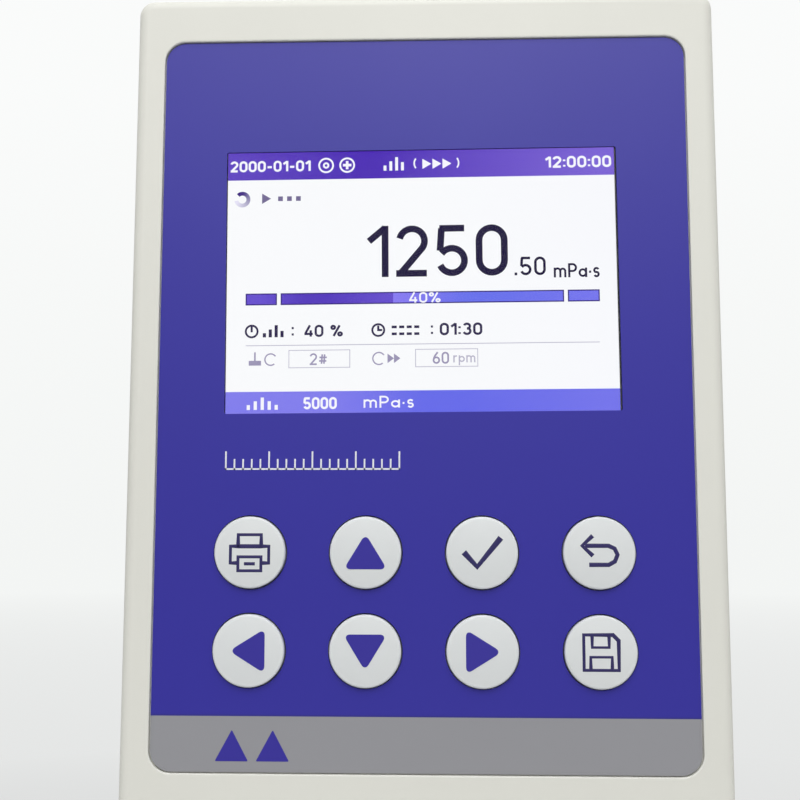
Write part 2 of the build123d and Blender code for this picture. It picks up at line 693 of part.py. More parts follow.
def front_housing():
    body = slab_y(head_rect(0, HEAD_CORNER_R), HEAD_FRONT_Y, SEAM_Y)
    body = fillet(body.edges().group_by(Axis.Y)[0], FRONT_EDGE_R)
    tongue = head_rect(WALL - LIP_T, HEAD_CORNER_R / 2) - head_rect(WALL, HEAD_CORNER_R / 2)
    body -= slab_y(head_rect(WALL, HEAD_CORNER_R / 2), FACE_BACK_Y, SEAM_Y)
    body += slab_y(tongue, SEAM_Y - BITE, SEAM_Y + LIP_L)
    recess = RectangleRounded(PANEL_W + 2 * PANEL_GAP, PANEL_H + 2 * PANEL_GAP, PANEL_CORNER_R + PANEL_GAP)
    body -= slab_y(Pos(0, PANEL_Z) * recess, HEAD_FRONT_Y, PANEL_BACK_Y)
    body -= slab_y(screen_outline(LCD_BEZEL + PANEL_GAP), PANEL_BACK_Y, FACE_BACK_Y)
    for x in KEY_COLUMNS:
        for z in KEY_ROWS:
            body -= round_y(x, z, KEY_R + KEY_GAP, PANEL_BACK_Y, FACE_BACK_Y)
    for x, z in KEY_BOARD_POSTS:
        body += round_y(x, z, BOARD_POST_R, FACE_BACK_Y - BITE, KEY_BOARD_Y)
    for x, z in MAIN_BOARD_POSTS:
        body += round_y(x, z, BOARD_POST_R, FACE_BACK_Y - BITE, MAIN_BOARD_Y)
    for x, z in HOUSING_SCREWS:
        boss = round_y(x, z, SCREW_BOSS_R, FACE_BACK_Y - BITE, SEAM_Y)
        boss &= slab_y(head_rect(WALL / 2, HEAD_CORNER_R / 2), FACE_BACK_Y - BITE, SEAM_Y)
        body += boss
        body -= round_y(x, z, SCREW_R, SEAM_Y - SCREW_BITE, SEAM_Y + LIP_L)
    return body


def rear_housing():
    body = slab_y(head_rect(0, HEAD_CORNER_R), SEAM_Y, HEAD_REAR_Y)
    body = fillet(body.edges().group_by(Axis.Y)[-1], REAR_EDGE_R)
    body -= slab_y(head_rect(WALL, HEAD_CORNER_R / 2), SEAM_Y, REAR_WALL_Y)
    for x, z in HOUSING_SCREWS:
        pillar = round_y(x, z, SCREW_BOSS_R, SEAM_Y, REAR_WALL_Y + BITE)
        body += pillar & slab_y(head_rect(WALL / 2, HEAD_CORNER_R / 2), SEAM_Y, HEAD_REAR_Y)
    body -= slab_y(head_rect(WALL - LIP_T - LIP_GAP, HEAD_CORNER_R / 2), SEAM_Y, SEAM_Y + LIP_L + LIP_GAP)
    groove = head_rect(-BITE, HEAD_CORNER_R) - head_rect(SEAM, HEAD_CORNER_R)
    body -= slab_y(groove, SEAM_Y, SEAM_Y + SEAM)
    for x, z in HOUSING_SCREWS:
        body -= round_y(x, z, SCREW_R + RUN, SEAM_Y, HEAD_REAR_Y)
        body -= round_y(x, z, SCREW_HEAD_R + SCREW_SINK_GAP, HEAD_REAR_Y - SCREW_SINK, HEAD_REAR_Y)
    body -= round_z(0, SPINDLE_Y, NECK_SPIGOT_R, HEAD_Z, FLOOR_Z)
    body -= round_y(0, ROD_Z, ROD_R, REAR_WALL_Y, HEAD_REAR_Y)
    cut = Rectangle(REAR_PANEL_W - 2 * REAR_CUT_EDGE, REAR_PANEL_H - 2 * REAR_CUT_EDGE)
    body -= slab_y(Pos(0, REAR_Z) * cut, REAR_WALL_Y, HEAD_REAR_Y)
    body -= round_z(0, LEVEL_Y, LEVEL_R, HEAD_TOP_Z - WALL, HEAD_TOP_Z)
    return body


def housing_screws():
    screws = []
    for x, z in HOUSING_SCREWS:
        seat = HEAD_REAR_Y - SCREW_SINK
        screw = round_y(x, z, SCREW_R, SEAM_Y - SCREW_BITE, seat)
        screws.append(screw + round_y(x, z, SCREW_HEAD_R, seat, seat + SCREW_HEAD_H))
    return Compound(screws)


# ---- front panel ----
def panel_overlay():
    sheet = Pos(0, PANEL_Z) * RectangleRounded(PANEL_W, PANEL_H, PANEL_CORNER_R)
    sheet -= screen_outline(0)
    for x in KEY_COLUMNS:
        for z in KEY_ROWS:
            sheet -= Pos(x, z) * Circle(KEY_R + KEY_GAP)
    return slab_y(sheet, PANEL_FACE_Y, PANEL_BACK_Y)


def display_lens():
    return slab_y(screen_outline(0), PANEL_FACE_Y, PANEL_BACK_Y)


def lcd_module():
    """The display's glass stands in the housing's window, its frame behind the wall."""
    frame = Pos(SCREEN_X, SCREEN_MID_Z) * Rot(0, 0, SCREEN_TURN) * Rectangle(LCD_W, LCD_H)
    body = slab_y(frame, FACE_BACK_Y, FACE_BACK_Y + LCD_T)
    return body + slab_y(screen_outline(LCD_BEZEL), PANEL_BACK_Y + LENS_GAP, FACE_BACK_Y)


def key(x, z):
    """A domed cap with a flange behind the housing's wall and a stem that works its switch."""
    rim = FACE_BACK_Y + TOUCH - PANEL_FACE_Y + KEY_PROUD
    cap = slab_z(Circle(KEY_R), 0, rim)
    cap = fillet(cap.edges().group_by(Axis.Z)[-1], KEY_EDGE)
    dome_r = (KEY_R**2 + KEY_DOME**2) / (2 * KEY_DOME)
    top = Pos(0, 0, rim - dome_r) * Sphere(dome_r)
    cap += slab_z(Circle(KEY_R - KEY_EDGE), rim / 2, rim + KEY_DOME) & top
    cap += slab_z(Circle(KEY_FLANGE_R), -KEY_FLANGE_T, 0)
    cap += slab_z(Circle(KEY_STEM_R), -KEY_FLANGE_T - KEY_STEM_L, -KEY_FLANGE_T)
    return Pos(x, KEY_FLANGE_Y, z) * Rot(90, 0, 0) * cap


def key_board():
    middle = (KEY_BOARD_LOW + KEY_BOARD_HIGH) / 2
    board = Rectangle(KEY_BOARD_W, KEY_BOARD_HIGH - KEY_BOARD_LOW)
    body = slab_y(Pos(0, middle) * board, KEY_BOARD_Y, KEY_BOARD_Y + BOARD_T)
    for x in KEY_COLUMNS:
        for z in KEY_ROWS:
            switch = Pos(x, z) * (Rectangle(SWITCH_W, SWITCH_W) - Circle(KEY_STEM_R + FREE))
            body += slab_y(switch, SWITCH_FRONT_Y, KEY_BOARD_Y - SWITCH_WALL)
            body += slab_y(Pos(x, z) * Rectangle(SWITCH_W, SWITCH_W), KEY_BOARD_Y - SWITCH_WALL, KEY_BOARD_Y)
    return body


def main_board():
    board = Pos(0, SCREEN_MID_Z) * Rectangle(MAIN_BOARD_W, MAIN_BOARD_H)
    back = MAIN_BOARD_Y + BOARD_T
    side, rise = MAIN_BOARD_W / 2 - CHIP_INSET, MAIN_BOARD_H / 2 - CHIP_INSET
    body = slab_y(board, MAIN_BOARD_Y, back)
    for x, z, w, h, t in (
        (CHIP_W / 2 - side, rise - CHIP_W / 2, CHIP_W, CHIP_W, CHIP_T),
        (side - RIBBON_W / 2, rise - RIBBON_H / 2, RIBBON_W, RIBBON_H, RIBBON_T),
        (side - TERMINAL_W / 2, TERMINAL_H / 2 - rise, TERMINAL_W, TERMINAL_H, TERMINAL_T),
    ):
        body += slab_y(Pos(x, SCREEN_MID_Z + z) * Rectangle(w, h), back, back + t)
    can_z = SCREEN_MID_Z - rise + CAPACITOR_R
    return body + round_y(CAPACITOR_R - side, can_z, CAPACITOR_R, back, back + CAPACITOR_L)


# ---- measuring cell ----
def lower_plate():
    depth = LOWER_PLATE_FRONT + LOWER_PLATE_BACK
    middle = SPINDLE_Y + (LOWER_PLATE_BACK - LOWER_PLATE_FRONT) / 2
    plate = Pos(0, middle) * RectangleRounded(PLATE_W, depth, PILLAR_R)
    plate -= Pos(0, SPINDLE_Y) * Circle(BUSH_BODY_R)
    return slab_z(plate, LOWER_PLATE_Z, PILLAR_Z)


def plate_pillars():
    return Compound(
        [
            round_z(sx * PILLAR_X, SPINDLE_Y + sy * PILLAR_Y, PILLAR_R, PILLAR_Z, BRACKET_Z)
            for sx in (-1, 1)
            for sy in (-1, 1)
        ]
    )


def motor_bracket():
    """A shelf for the motor, turned up and down at the back where the head's rod is fixed."""
    front = SPINDLE_Y - BRACKET_FRONT
    shelf = Pos(0, (front + REAR_WALL_Y) / 2) * Rectangle(PLATE_W, REAR_WALL_Y - front)
    shelf -= Pos(0, SPINDLE_Y) * Circle(MOTOR_BOSS_R)
    body = slab_z(shelf, BRACKET_Z, BRACKET_Z + BRACKET_T)
    low, high = BRACKET_Z - BRACKET_DOWN, BRACKET_Z + BRACKET_T + BRACKET_UP
    flange = Pos(0, (low + high) / 2) * Rectangle(PLATE_W, high - low)
    body += slab_y(flange, REAR_WALL_Y - BRACKET_FLANGE_T, REAR_WALL_Y)
    return body - round_y(0, ROD_Z, ROD_R, REAR_WALL_Y - BRACKET_FLANGE_T, REAR_WALL_Y)


def stepper_motor():
    base = BRACKET_Z + BRACKET_T
    square = chamfer(Rectangle(MOTOR_W, MOTOR_W).vertices(), MOTOR_CORNER)
    body = slab_z(Pos(0, SPINDLE_Y) * square, base, base + MOTOR_H)
    body += round_z(0, SPINDLE_Y, MOTOR_BOSS_R, base - MOTOR_BOSS_H, base)
    return body - round_z(0, SPINDLE_Y, MOTOR_SHAFT_R + RUN, base - MOTOR_BOSS_H, base + MOTOR_SHAFT_IN)


def motor_shaft():
    top = BRACKET_Z + BRACKET_T + MOTOR_SHAFT_IN - FREE
    return round_z(0, SPINDLE_Y, MOTOR_SHAFT_R, DRIVE_TOP - DRIVE_GRIP, top)


def slotted_disc(z, hub_r):
    """A thin disc with windows near its rim, from its hub outwards."""
    disc = Circle(DISC_R) - Circle(hub_r)
    window = RectangleRounded(WINDOW_L, WINDOW_W, WINDOW_W / 4)
    for place in PolarLocations(DISC_R - WINDOW_RIM - WINDOW_L / 2, DISC_WINDOWS):
        disc -= place * window
    return slab_z(Pos(0, SPINDLE_Y) * disc, z, z + DISC_T)


def drive_disc():
    """The driven hub and its disc, with the post that the spring's outer end is pinned to."""
    body = round_z(0, SPINDLE_Y, DRIVE_HUB_R, DRIVE_BOTTOM, DRIVE_TOP)
    body += slotted_disc(DRIVE_BOTTOM, DRIVE_HUB_R - BITE)
    body += round_z(0, SPINDLE_Y - POST_AT, POST_R, DRIVE_BOTTOM - POST_L, DRIVE_BOTTOM + DISC_T / 2)
    body -= round_z(0, SPINDLE_Y, MOTOR_SHAFT_R, DRIVE_TOP - DRIVE_GRIP, DRIVE_TOP)
    return body - round_z(0, SPINDLE_Y, PIVOT_R + RUN, DRIVE_BOTTOM, DRIVE_BOTTOM + PIVOT_SOCKET)


def hairspring():
    """A flat spiral from its collet round the pivot shaft to the drive post."""
    inner = PIVOT_R + FREE
    start, end = inner + COLLET_T - SPRING_T / 2, POST_AT - POST_R - SPRING_T / 2 - TOUCH
    steps = SPRING_TURNS * SPRING_SIDES
    sides = ([], [])
    for i in range(steps + 1):
        angle = -math.pi / 2 + 2 * math.pi * SPRING_TURNS * i / steps
        r = start + (end - start) * i / steps
        for side, away in zip(sides, (-SPRING_T / 2, SPRING_T / 2)):
            side.append(((r + away) * math.cos(angle), (r + away) * math.sin(angle)))
    strip = make_face(Polyline(*sides[0], *reversed(sides[1]), close=True))
    strip += Circle(inner + COLLET_T)
    strip -= Circle(inner)
    z = DRIVE_BOTTOM - POST_L + SPRING_H / 2
    return slab_z(Pos(0, SPINDLE_Y) * strip, z, z + SPRING_H)


def optical_sensors():
    """Two light barriers on the bracket's flange, one astride each disc's rim."""
    rim_y = SPINDLE_Y + DISC_R
    forks = []
    for disc_z in (DRIVE_BOTTOM, SENSE_DISC_Z):
        z = disc_z + DISC_T / 2
        fork = Pos(0, z) * Rectangle(FORK_W, FORK_H)
        body = slab_y(fork, rim_y - FORK_REACH, REAR_WALL_Y - BRACKET_FLANGE_T)
        slot = Pos(0, z) * Rectangle(FORK_W, FORK_SLOT)
        forks.append(body - slab_y(slot, rim_y - FORK_REACH, rim_y + FORK_PAST))
    return Compound(forks)


def pivot_bush():
    top = LOWER_PLATE_Z + LOWER_PLATE_T
    body = round_z(0, SPINDLE_Y, BUSH_BODY_R, NECK_WEB_Z, top)
    body += round_z(0, SPINDLE_Y, BUSH_R, top, top + BUSH_H - LOWER_PLATE_T)
    return body - round_z(0, SPINDLE_Y, PIVOT_R + RUN, NECK_WEB_Z, top + BUSH_H)


# ---- rotor of the measuring cell ----
def pivot_shaft():
    top = DRIVE_BOTTOM + PIVOT_SOCKET - FREE
    return round_z(0, SPINDLE_Y, PIVOT_R, COUPLING_TOP - COUPLING_GRIP, top)


def sensing_disc():
    low = SENSE_DISC_Z + (DISC_T - SENSE_HUB_H) / 2
    body = round_z(0, SPINDLE_Y, SENSE_HUB_R, low, low + SENSE_HUB_H)
    body += slotted_disc(SENSE_DISC_Z, SENSE_HUB_R - BITE)
    return body - round_z(0, SPINDLE_Y, PIVOT_R, low, low + SENSE_HUB_H)


def spindle_coupling():
    body = round_z(0, SPINDLE_Y, COUPLING_R, COUPLING_BOTTOM, COUPLING_TOP)
    body = chamfer(body.edges().filter_by(GeomType.CIRCLE), BREAK)
    return body - round_z(0, SPINDLE_Y, PIVOT_R, COUPLING_TOP - COUPLING_GRIP, COUPLING_TOP)


def spindle():
    """A disc spindle with its coupling nut, and the groove that marks its depth in the sample."""
    disc_low = SPINDLE_BOTTOM + SPINDLE_TAIL
    disc_top = disc_low + SPINDLE_DISC_T
    mark = disc_top + MARK_ABOVE
    nut_low = COUPLING_BOTTOM - SPINDLE_NUT_H
    body = turned(
        [
            (0, SPINDLE_BOTTOM),
            (SPINDLE_R, SPINDLE_BOTTOM),
            (SPINDLE_R, disc_low),
            (SPINDLE_DISC_R, disc_low),
            (SPINDLE_DISC_R, disc_top),
            (SPINDLE_R, disc_top),
            (SPINDLE_R, mark - MARK_W / 2),
            (SPINDLE_R - MARK_DEPTH, mark - MARK_W / 2),
            (SPINDLE_R - MARK_DEPTH, mark + MARK_W / 2),
            (SPINDLE_R, mark + MARK_W / 2),
            (SPINDLE_R, nut_low - SPINDLE_NUT_R + SPINDLE_R),
            (SPINDLE_NUT_R, nut_low),
            (SPINDLE_NUT_R, COUPLING_BOTTOM),
            (0, COUPLING_BOTTOM),
        ]
    )
    return Pos(0, SPINDLE_Y, 0) * body


# ---- neck and guard ----
def neck_collar():
    flats = Box(2 * NECK_FLAT_X, 2 * NECK_R, 2 * NECK_H)
    body = round_z(0, SPINDLE_Y, NECK_R, NECK_BOTTOM, HEAD_Z)
    body &= Pos(0, SPINDLE_Y, HEAD_Z) * flats
    body = chamfer(body.edges().group_by(Axis.Z)[0], BREAK)
    body += round_z(0, SPINDLE_Y, NECK_FLANGE_R, NECK_WEB_Z, HEAD_Z)
    body += round_z(0, SPINDLE_Y, NECK_SPIGOT_R, HEAD_Z, FLOOR_Z)
    body -= round_z(0, SPINDLE_Y, NECK_BORE_R, NECK_BOTTOM, NECK_WEB_Z)
    body -= round_z(0, SPINDLE_Y, BUSH_BODY_R, NECK_WEB_Z, FLOOR_Z)
    z = NECK_BOTTOM + GUARD_SCREW_Z
    for side in (-1, 1):
        ends = sorted((side * NECK_FLAT_X, side * (NECK_FLAT_X - GUARD_SCREW_BITE)))
        body -= round_x(SPINDLE_Y, z, GUARD_SCREW_R, *ends)
    return body


def guard_bracket():
    """A strip bent to a U round the spindle, its ends on the flats of the neck."""
    half = NECK_FLAT_X + GUARD_T
    middle = (GUARD_TOP + GUARD_BOTTOM) / 2
    outer = Pos(0, middle) * Rectangle(2 * half, GUARD_L)
    outer = fillet(outer.vertices().group_by(Axis.Y)[0], GUARD_BEND_R)
    inner = Pos(0, middle + GUARD_T / 2) * Rectangle(2 * NECK_FLAT_X, GUARD_L - GUARD_T)
    inner = fillet(inner.vertices().group_by(Axis.Y)[0], GUARD_BEND_R - GUARD_T)
    low, high = SPINDLE_Y - GUARD_STRIP_W / 2, SPINDLE_Y + GUARD_STRIP_W / 2
    body = slab_y(outer - inner, low, high)
    return body - round_x(SPINDLE_Y, NECK_BOTTOM + GUARD_SCREW_Z, GUARD_SCREW_R, -half, half)


def guard_screws():
    screws = []
    for side in (-1, 1):
        z = NECK_BOTTOM + GUARD_SCREW_Z
        seat = NECK_FLAT_X + GUARD_T
        ends = sorted((side * (NECK_FLAT_X - GUARD_SCREW_BITE), side * seat))
        screw = round_x(SPINDLE_Y, z, GUARD_SCREW_R, *ends)
        ends = sorted((side * seat, side * (seat + GUARD_HEAD_H)))
        screws.append(screw + round_x(SPINDLE_Y, z, GUARD_HEAD_R, *ends))
    return Compound(screws)


# ---- rod, level and rear panel ----
def head_rod():
    body = round_y(0, ROD_Z, ROD_FLANGE_R, HEAD_REAR_Y, HEAD_REAR_Y + ROD_FLANGE_T)
    body = chamfer(body.edges().group_by(Axis.Y)[-1], BREAK)
    rod = round_y(0, ROD_Z, ROD_R, REAR_WALL_Y - BRACKET_FLANGE_T, ROD_END_Y)
    return body + chamfer(rod.edges().group_by(Axis.Y)[-1], BREAK)


def level_cup():
    top = HEAD_TOP_Z + LEVEL_FLANGE_T
    body = round_z(0, LEVEL_Y, LEVEL_FLANGE_R, HEAD_TOP_Z, top)
    body = chamfer(body.edges().group_by(Axis.Z)[-1], LEVEL_FLANGE_T / 3)
    body += round_z(0, LEVEL_Y, LEVEL_R, HEAD_TOP_Z - LEVEL_DEEP, HEAD_TOP_Z)
    return body - round_z(0, LEVEL_Y, LEVEL_R - LEVEL_WALL, HEAD_TOP_Z - LEVEL_DEEP + LEVEL_WALL, top)


def level_lens():
    """The level's sealed vial: a clear drum with a slightly domed top."""
    r = LEVEL_R - LEVEL_WALL
    top = HEAD_TOP_Z + LEVEL_FLANGE_T
    body = round_z(0, LEVEL_Y, r, HEAD_TOP_Z - LEVEL_DEEP + LEVEL_WALL, top + LEVEL_DOME)
    dome_r = (r**2 + LEVEL_DOME**2) / (2 * LEVEL_DOME)
    return body & (Pos(0, LEVEL_Y, top + LEVEL_DOME - dome_r) * Sphere(dome_r))


def connector_panel():
    plate = RectangleRounded(REAR_PANEL_W, REAR_PANEL_H, REAR_PANEL_R)
    plate -= Pos(SWITCH_X, 0) * Rectangle(SWITCH_BODY_W, SWITCH_BODY_H)
    plate -= Pos(JACK_X, 0) * Circle(JACK_R)
    plate -= Pos(USB_X, 0) * Rectangle(USB_W, USB_H)
    plate -= Pos(SERIAL_X, 0) * Rectangle(SERIAL_BODY_W, SERIAL_BODY_H)
    plate -= Pos(PROBE_X, 0) * Circle(PROBE_R)
    return slab_y(Pos(0, REAR_Z) * plate, HEAD_REAR_Y, PANEL_OUT_Y)


def at_rear(piece, x):
    """Turns a piece built along +Z to face backwards, its zero on the panel's outer face."""
    return Pos(x, PANEL_OUT_Y, REAR_Z) * Rot(-90, 0, 0) * piece


def power_switch():
    body = slab_z(Rectangle(SWITCH_BODY_W, SWITCH_BODY_H), -SWITCH_DEEP, 0)
    bezel = slab_z(RectangleRounded(SWITCH_BEZEL_W, SWITCH_BEZEL_H, BREAK), 0, SWITCH_BEZEL_T)
    body += chamfer(bezel.edges().group_by(Axis.Z)[-1], BREAK / 2)
    well = Rectangle(ROCKER_W + 2 * FREE, ROCKER_H + 2 * FREE)
    body -= slab_z(well, -SWITCH_DEEP / 2, SWITCH_BEZEL_T)
    wide = ROCKER_W / 2 + FREE + ROCKER_AXLE_END + TOUCH
    return at_rear(body - round_x(0, 0, ROCKER_AXLE_R + RUN, -wide, wide), SWITCH_X)


def power_rocker():
    """A rocker, tipped to one side on its axle."""
    end = ROCKER_H / 2 - BREAK
    profile = Polyline(
        (ROCKER_DRAFT - end, -ROCKER_DEEP),
        (end - ROCKER_DRAFT, -ROCKER_DEEP),
        (end, ROCKER_TIP),
        (0, SWITCH_BEZEL_T),
        (-end, ROCKER_TIP),
        close=True,
    )
    body = slab_x(make_face(profile), -ROCKER_W / 2, ROCKER_W / 2)
    wide = ROCKER_W / 2 + FREE + ROCKER_AXLE_END
    body += round_x(0, 0, ROCKER_AXLE_R, -wide, wide)
    return at_rear(Rot(ROCKER_ANGLE, 0, 0) * body, SWITCH_X)


def dc_jack():
    well = -JACK_DEEP + SOCKET_BACK
    body = slab_z(Circle(JACK_R), -JACK_DEEP, SOCKET_PROUD) - slab_z(Circle(JACK_BORE_R), well, SOCKET_PROUD)
    return at_rear(body + slab_z(Circle(JACK_PIN_R), well - BITE, 0), JACK_X)


def d_outline():
    w, h = D_W / 2, D_H / 2
    corners = [(-w, h), (w, h), (w - D_SLANT, -h), (-w + D_SLANT, -h)]
    return fillet(make_face(Polyline(*corners, close=True)).vertices(), D_CORNER)


def data_sockets():
    """A square data socket and a nine-way socket, each in its metal shell."""
    usb = slab_z(Rectangle(USB_W, USB_H), -USB_DEEP, SOCKET_PROUD / 2)
    well = -USB_DEEP + SOCKET_BACK
    mouth = chamfer(Rectangle(USB_HOLE_W, USB_HOLE_H).vertices(), BREAK)
    usb -= slab_z(mouth, well, SOCKET_PROUD)
    usb += slab_z(Rectangle(USB_TONGUE_W, USB_TONGUE_H), well - BITE, -USB_TONGUE_IN)
    serial = slab_z(Rectangle(SERIAL_W, SERIAL_H), 0, SERIAL_FLANGE_T)
    serial += slab_z(d_outline(), 0, D_PROUD)
    serial += slab_z(Rectangle(SERIAL_BODY_W, SERIAL_BODY_H), -SERIAL_DEEP, 0)
    return Compound([at_rear(usb, USB_X), at_rear(serial, SERIAL_X)])


def probe_socket():
    """A round screw-collar socket with a shallow contact well."""
    body = slab_z(Circle(PROBE_R), -PROBE_DEEP, PROBE_PROUD)
    nut = RegularPolygon(PROBE_NUT_R, 6)
    body += slab_z(nut, 0, PROBE_NUT_T)
    return at_rear(body - slab_z(Circle(PROBE_BORE_R), PROBE_PROUD - PROBE_BORE_L, PROBE_PROUD), PROBE_X)


NODES = {
    "base_casting": base_casting(),
    "column": column(),
    "column_nut": column_nut(),
    "column_cap": column_cap(),
    "lift_block": lift_block(),
    "pinion_bushes": pinion_bushes(),
    "pinion_shaft": pinion_shaft(),
    "lift_knob_left": lift_knob(-1),
    "lift_knob_right": lift_knob(1),
    "tension_screw": tension_screw(),
    "brake_pad": brake_pad(),
    "lock_screw": lock_screw(),
    "front_housing": front_housing(),
    "rear_housing": rear_housing(),
    "housing_screws": housing_screws(),
    "panel_overlay": panel_overlay(),
    "display_lens": display_lens(),
    "lcd_module": lcd_module(),
    "key_board": key_board(),
    "main_board": main_board(),
    "lower_plate": lower_plate(),
    "plate_pillars": plate_pillars(),
    "motor_bracket": motor_bracket(),
    "stepper_motor": stepper_motor(),
    "motor_shaft": motor_shaft(),
    "drive_disc": drive_disc(),
    "hairspring": hairspring(),
    "optical_sensors": optical_sensors(),
    "pivot_bush": pivot_bush(),
    "pivot_shaft": pivot_shaft(),
    "sensing_disc": sensing_disc(),
    "spindle_coupling": spindle_coupling(),
    "spindle": spindle(),
    "neck_collar": neck_collar(),
    "guard_bracket": guard_bracket(),
    "guard_screws": guard_screws(),
    "head_rod": head_rod(),
    "level_cup": level_cup(),
    "level_lens": level_lens(),
    "connector_panel": connector_panel(),
    "power_switch": power_switch(),
    "power_rocker": power_rocker(),
    "dc_jack": dc_jack(),
    "data_sockets": data_sockets(),
    "probe_socket": probe_socket(),
}
for place, (x, y) in FEET.items():
    NODES["foot_pad_" + place] = foot_pad(x, y)
    NODES["foot_screw_" + place] = foot_screw(x, y)
for i, name in enumerate(KEY_NAMES):
    NODES["key_" + name] = key(KEY_COLUMNS[i % 4], KEY_ROWS[i // 4])

os.makedirs("parts", exist_ok=True)
for name, shape in NODES.items():
    export_step(shape, "parts/" + name + ".step")
print(len(NODES), "nodes")
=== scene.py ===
import math

import bmesh
import bpy
from mathutils import Matrix, Vector


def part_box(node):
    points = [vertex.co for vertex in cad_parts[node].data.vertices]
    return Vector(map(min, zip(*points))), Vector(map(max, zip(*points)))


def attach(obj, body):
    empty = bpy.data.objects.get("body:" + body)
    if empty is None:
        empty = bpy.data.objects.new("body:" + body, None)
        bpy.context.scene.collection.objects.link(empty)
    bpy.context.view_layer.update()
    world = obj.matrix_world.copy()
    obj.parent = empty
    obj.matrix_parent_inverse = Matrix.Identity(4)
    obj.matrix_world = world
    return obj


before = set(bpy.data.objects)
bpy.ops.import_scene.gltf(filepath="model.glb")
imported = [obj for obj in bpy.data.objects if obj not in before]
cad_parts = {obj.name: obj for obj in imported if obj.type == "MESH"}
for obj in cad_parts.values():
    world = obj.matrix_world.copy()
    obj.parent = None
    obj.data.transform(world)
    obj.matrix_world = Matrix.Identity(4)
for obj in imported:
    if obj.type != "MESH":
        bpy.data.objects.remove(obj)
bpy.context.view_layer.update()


# ---- Base casting ----
# One iron casting: a hub for the column and three legs, sand cast and machined only under its
# bosses. It is stoved in a warm light enamel with a fine orange-peel texture, and dust settles
# on its flat tops.

ENAMEL, ENAMEL_RUBBED = (0.60, 0.60, 0.56), (0.68, 0.68, 0.65)
ENAMEL_PEEL = 1100.0
DUST = (0.52, 0.50, 0.46)
RUB_WIDTH = 0.0012


def feed(tree, step, inputs):
    """Gives a node's inputs their values, or links them to another node's socket."""
    for label, value in inputs.items():
        if isinstance(value, bpy.types.NodeSocket):
            tree.links.new(value, step.inputs[label])
        else:
            step.inputs[label].default_value = value
    return step


def put(tree, kind, inputs=None, **settings):
    """Adds a shader node."""
    step = tree.nodes.new("ShaderNode" + kind)
    for label, value in settings.items():
        setattr(step, label, value)
    return feed(tree, step, inputs or {})


def maths(tree, operation, first, second=0.0):
    """What a sum, a product or a comparison of two values gives."""
    return put(tree, "Math", {0: first, 1: second}, operation=operation).outputs[0]


def ramp(tree, value, low, high, to_low=0.0, to_high=1.0):
    """Carries low..high over to to_low..to_high, held at both ends."""
    ends = {"Value": value, "From Min": low, "From Max": high, "To Min": to_low, "To Max": to_high}
    return put(tree, "MapRange", ends).outputs[0]


def blend_colour(tree, share, *colours):
    """The first colour where share is 0 and the second where it is 1."""
    first, second = (c if isinstance(c, bpy.types.NodeSocket) else (*c, 1.0) for c in colours)
    return put(tree, "Mix", {0: share, 6: first, 7: second}, data_type="RGBA").outputs[2]


def mottled(tree, cloud, colour, shade):
    """The colour, darkened to the share shade where the cloud is 0."""
    return blend_colour(tree, cloud, [c * shade for c in colour], colour)


def spot_of(tree):
    """The place on the object, in metres."""
    return put(tree, "TexCoord").outputs["Object"]


def parts(tree, vector):
    return put(tree, "SeparateXYZ", {0: vector}).outputs


def noise(tree, vector, scale, detail):
    return put(tree, "TexNoise", {"Vector": vector, "Scale": scale, "Detail": detail}).outputs[0]


def relief(tree, height, strength, depth, normal=None):
    """The normal of a surface raised by a height; depth is what a height of 1 stands for."""
    inputs = {"Strength": strength, "Distance": depth, "Height": height}
    if normal is not None:
        inputs["Normal"] = normal
    return put(tree, "Bump", inputs).outputs[0]


def effect(name, takes, gives):
    """A new node group: takes maps its inputs to their values and gives names its outputs."""
    tree = bpy.data.node_groups.new(name, "ShaderNodeTree")
    for label, value in takes.items():
        kind = "NodeSocketVector" if isinstance(value, tuple) else "NodeSocketFloat"
        tree.interface.new_socket(label, in_out="INPUT", socket_type=kind).default_value = value
    for label in gives:
        tree.interface.new_socket(label, in_out="OUTPUT", socket_type="NodeSocketFloat")
    return tree, tree.nodes.new("NodeGroupInput").outputs, tree.nodes.new("NodeGroupOutput")


def use(tree, group, **inputs):
    """Places an effect in a material and gives its outputs."""
    step = tree.nodes.new("ShaderNodeGroup")
    step.node_tree = group
    return feed(tree, step, inputs).outputs


# Moulded and sprayed skins share one fine grain: Height for the bump, Cloud for slow mottling.
skin_grain, taken, given = effect("skin_grain", {"Scale": 900.0}, ["Height", "Cloud"])
spot = spot_of(skin_grain)
slow = noise(skin_grain, spot, 22.0, 3.0)
feed(skin_grain, given, {"Height": noise(skin_grain, spot, taken["Scale"], 2.5),
                         "Cloud": ramp(skin_grain, slow, 0.3, 0.7)})

# Dust lies where a face looks up, thicker in patches.
settled_dust, taken, given = effect("settled_dust", {"Amount": 0.2}, ["Mask"])
facing = parts(settled_dust, put(settled_dust, "NewGeometry").outputs["Normal"])["Z"]
patch = ramp(settled_dust, noise(settled_dust, spot_of(settled_dust), 60.0, 5.0), 0.35, 0.7)
thick = maths(settled_dust, "MULTIPLY", ramp(settled_dust, facing, 0.75, 1.0), patch)
feed(settled_dust, given, {"Mask": maths(settled_dust, "MULTIPLY", thick, taken["Amount"])})

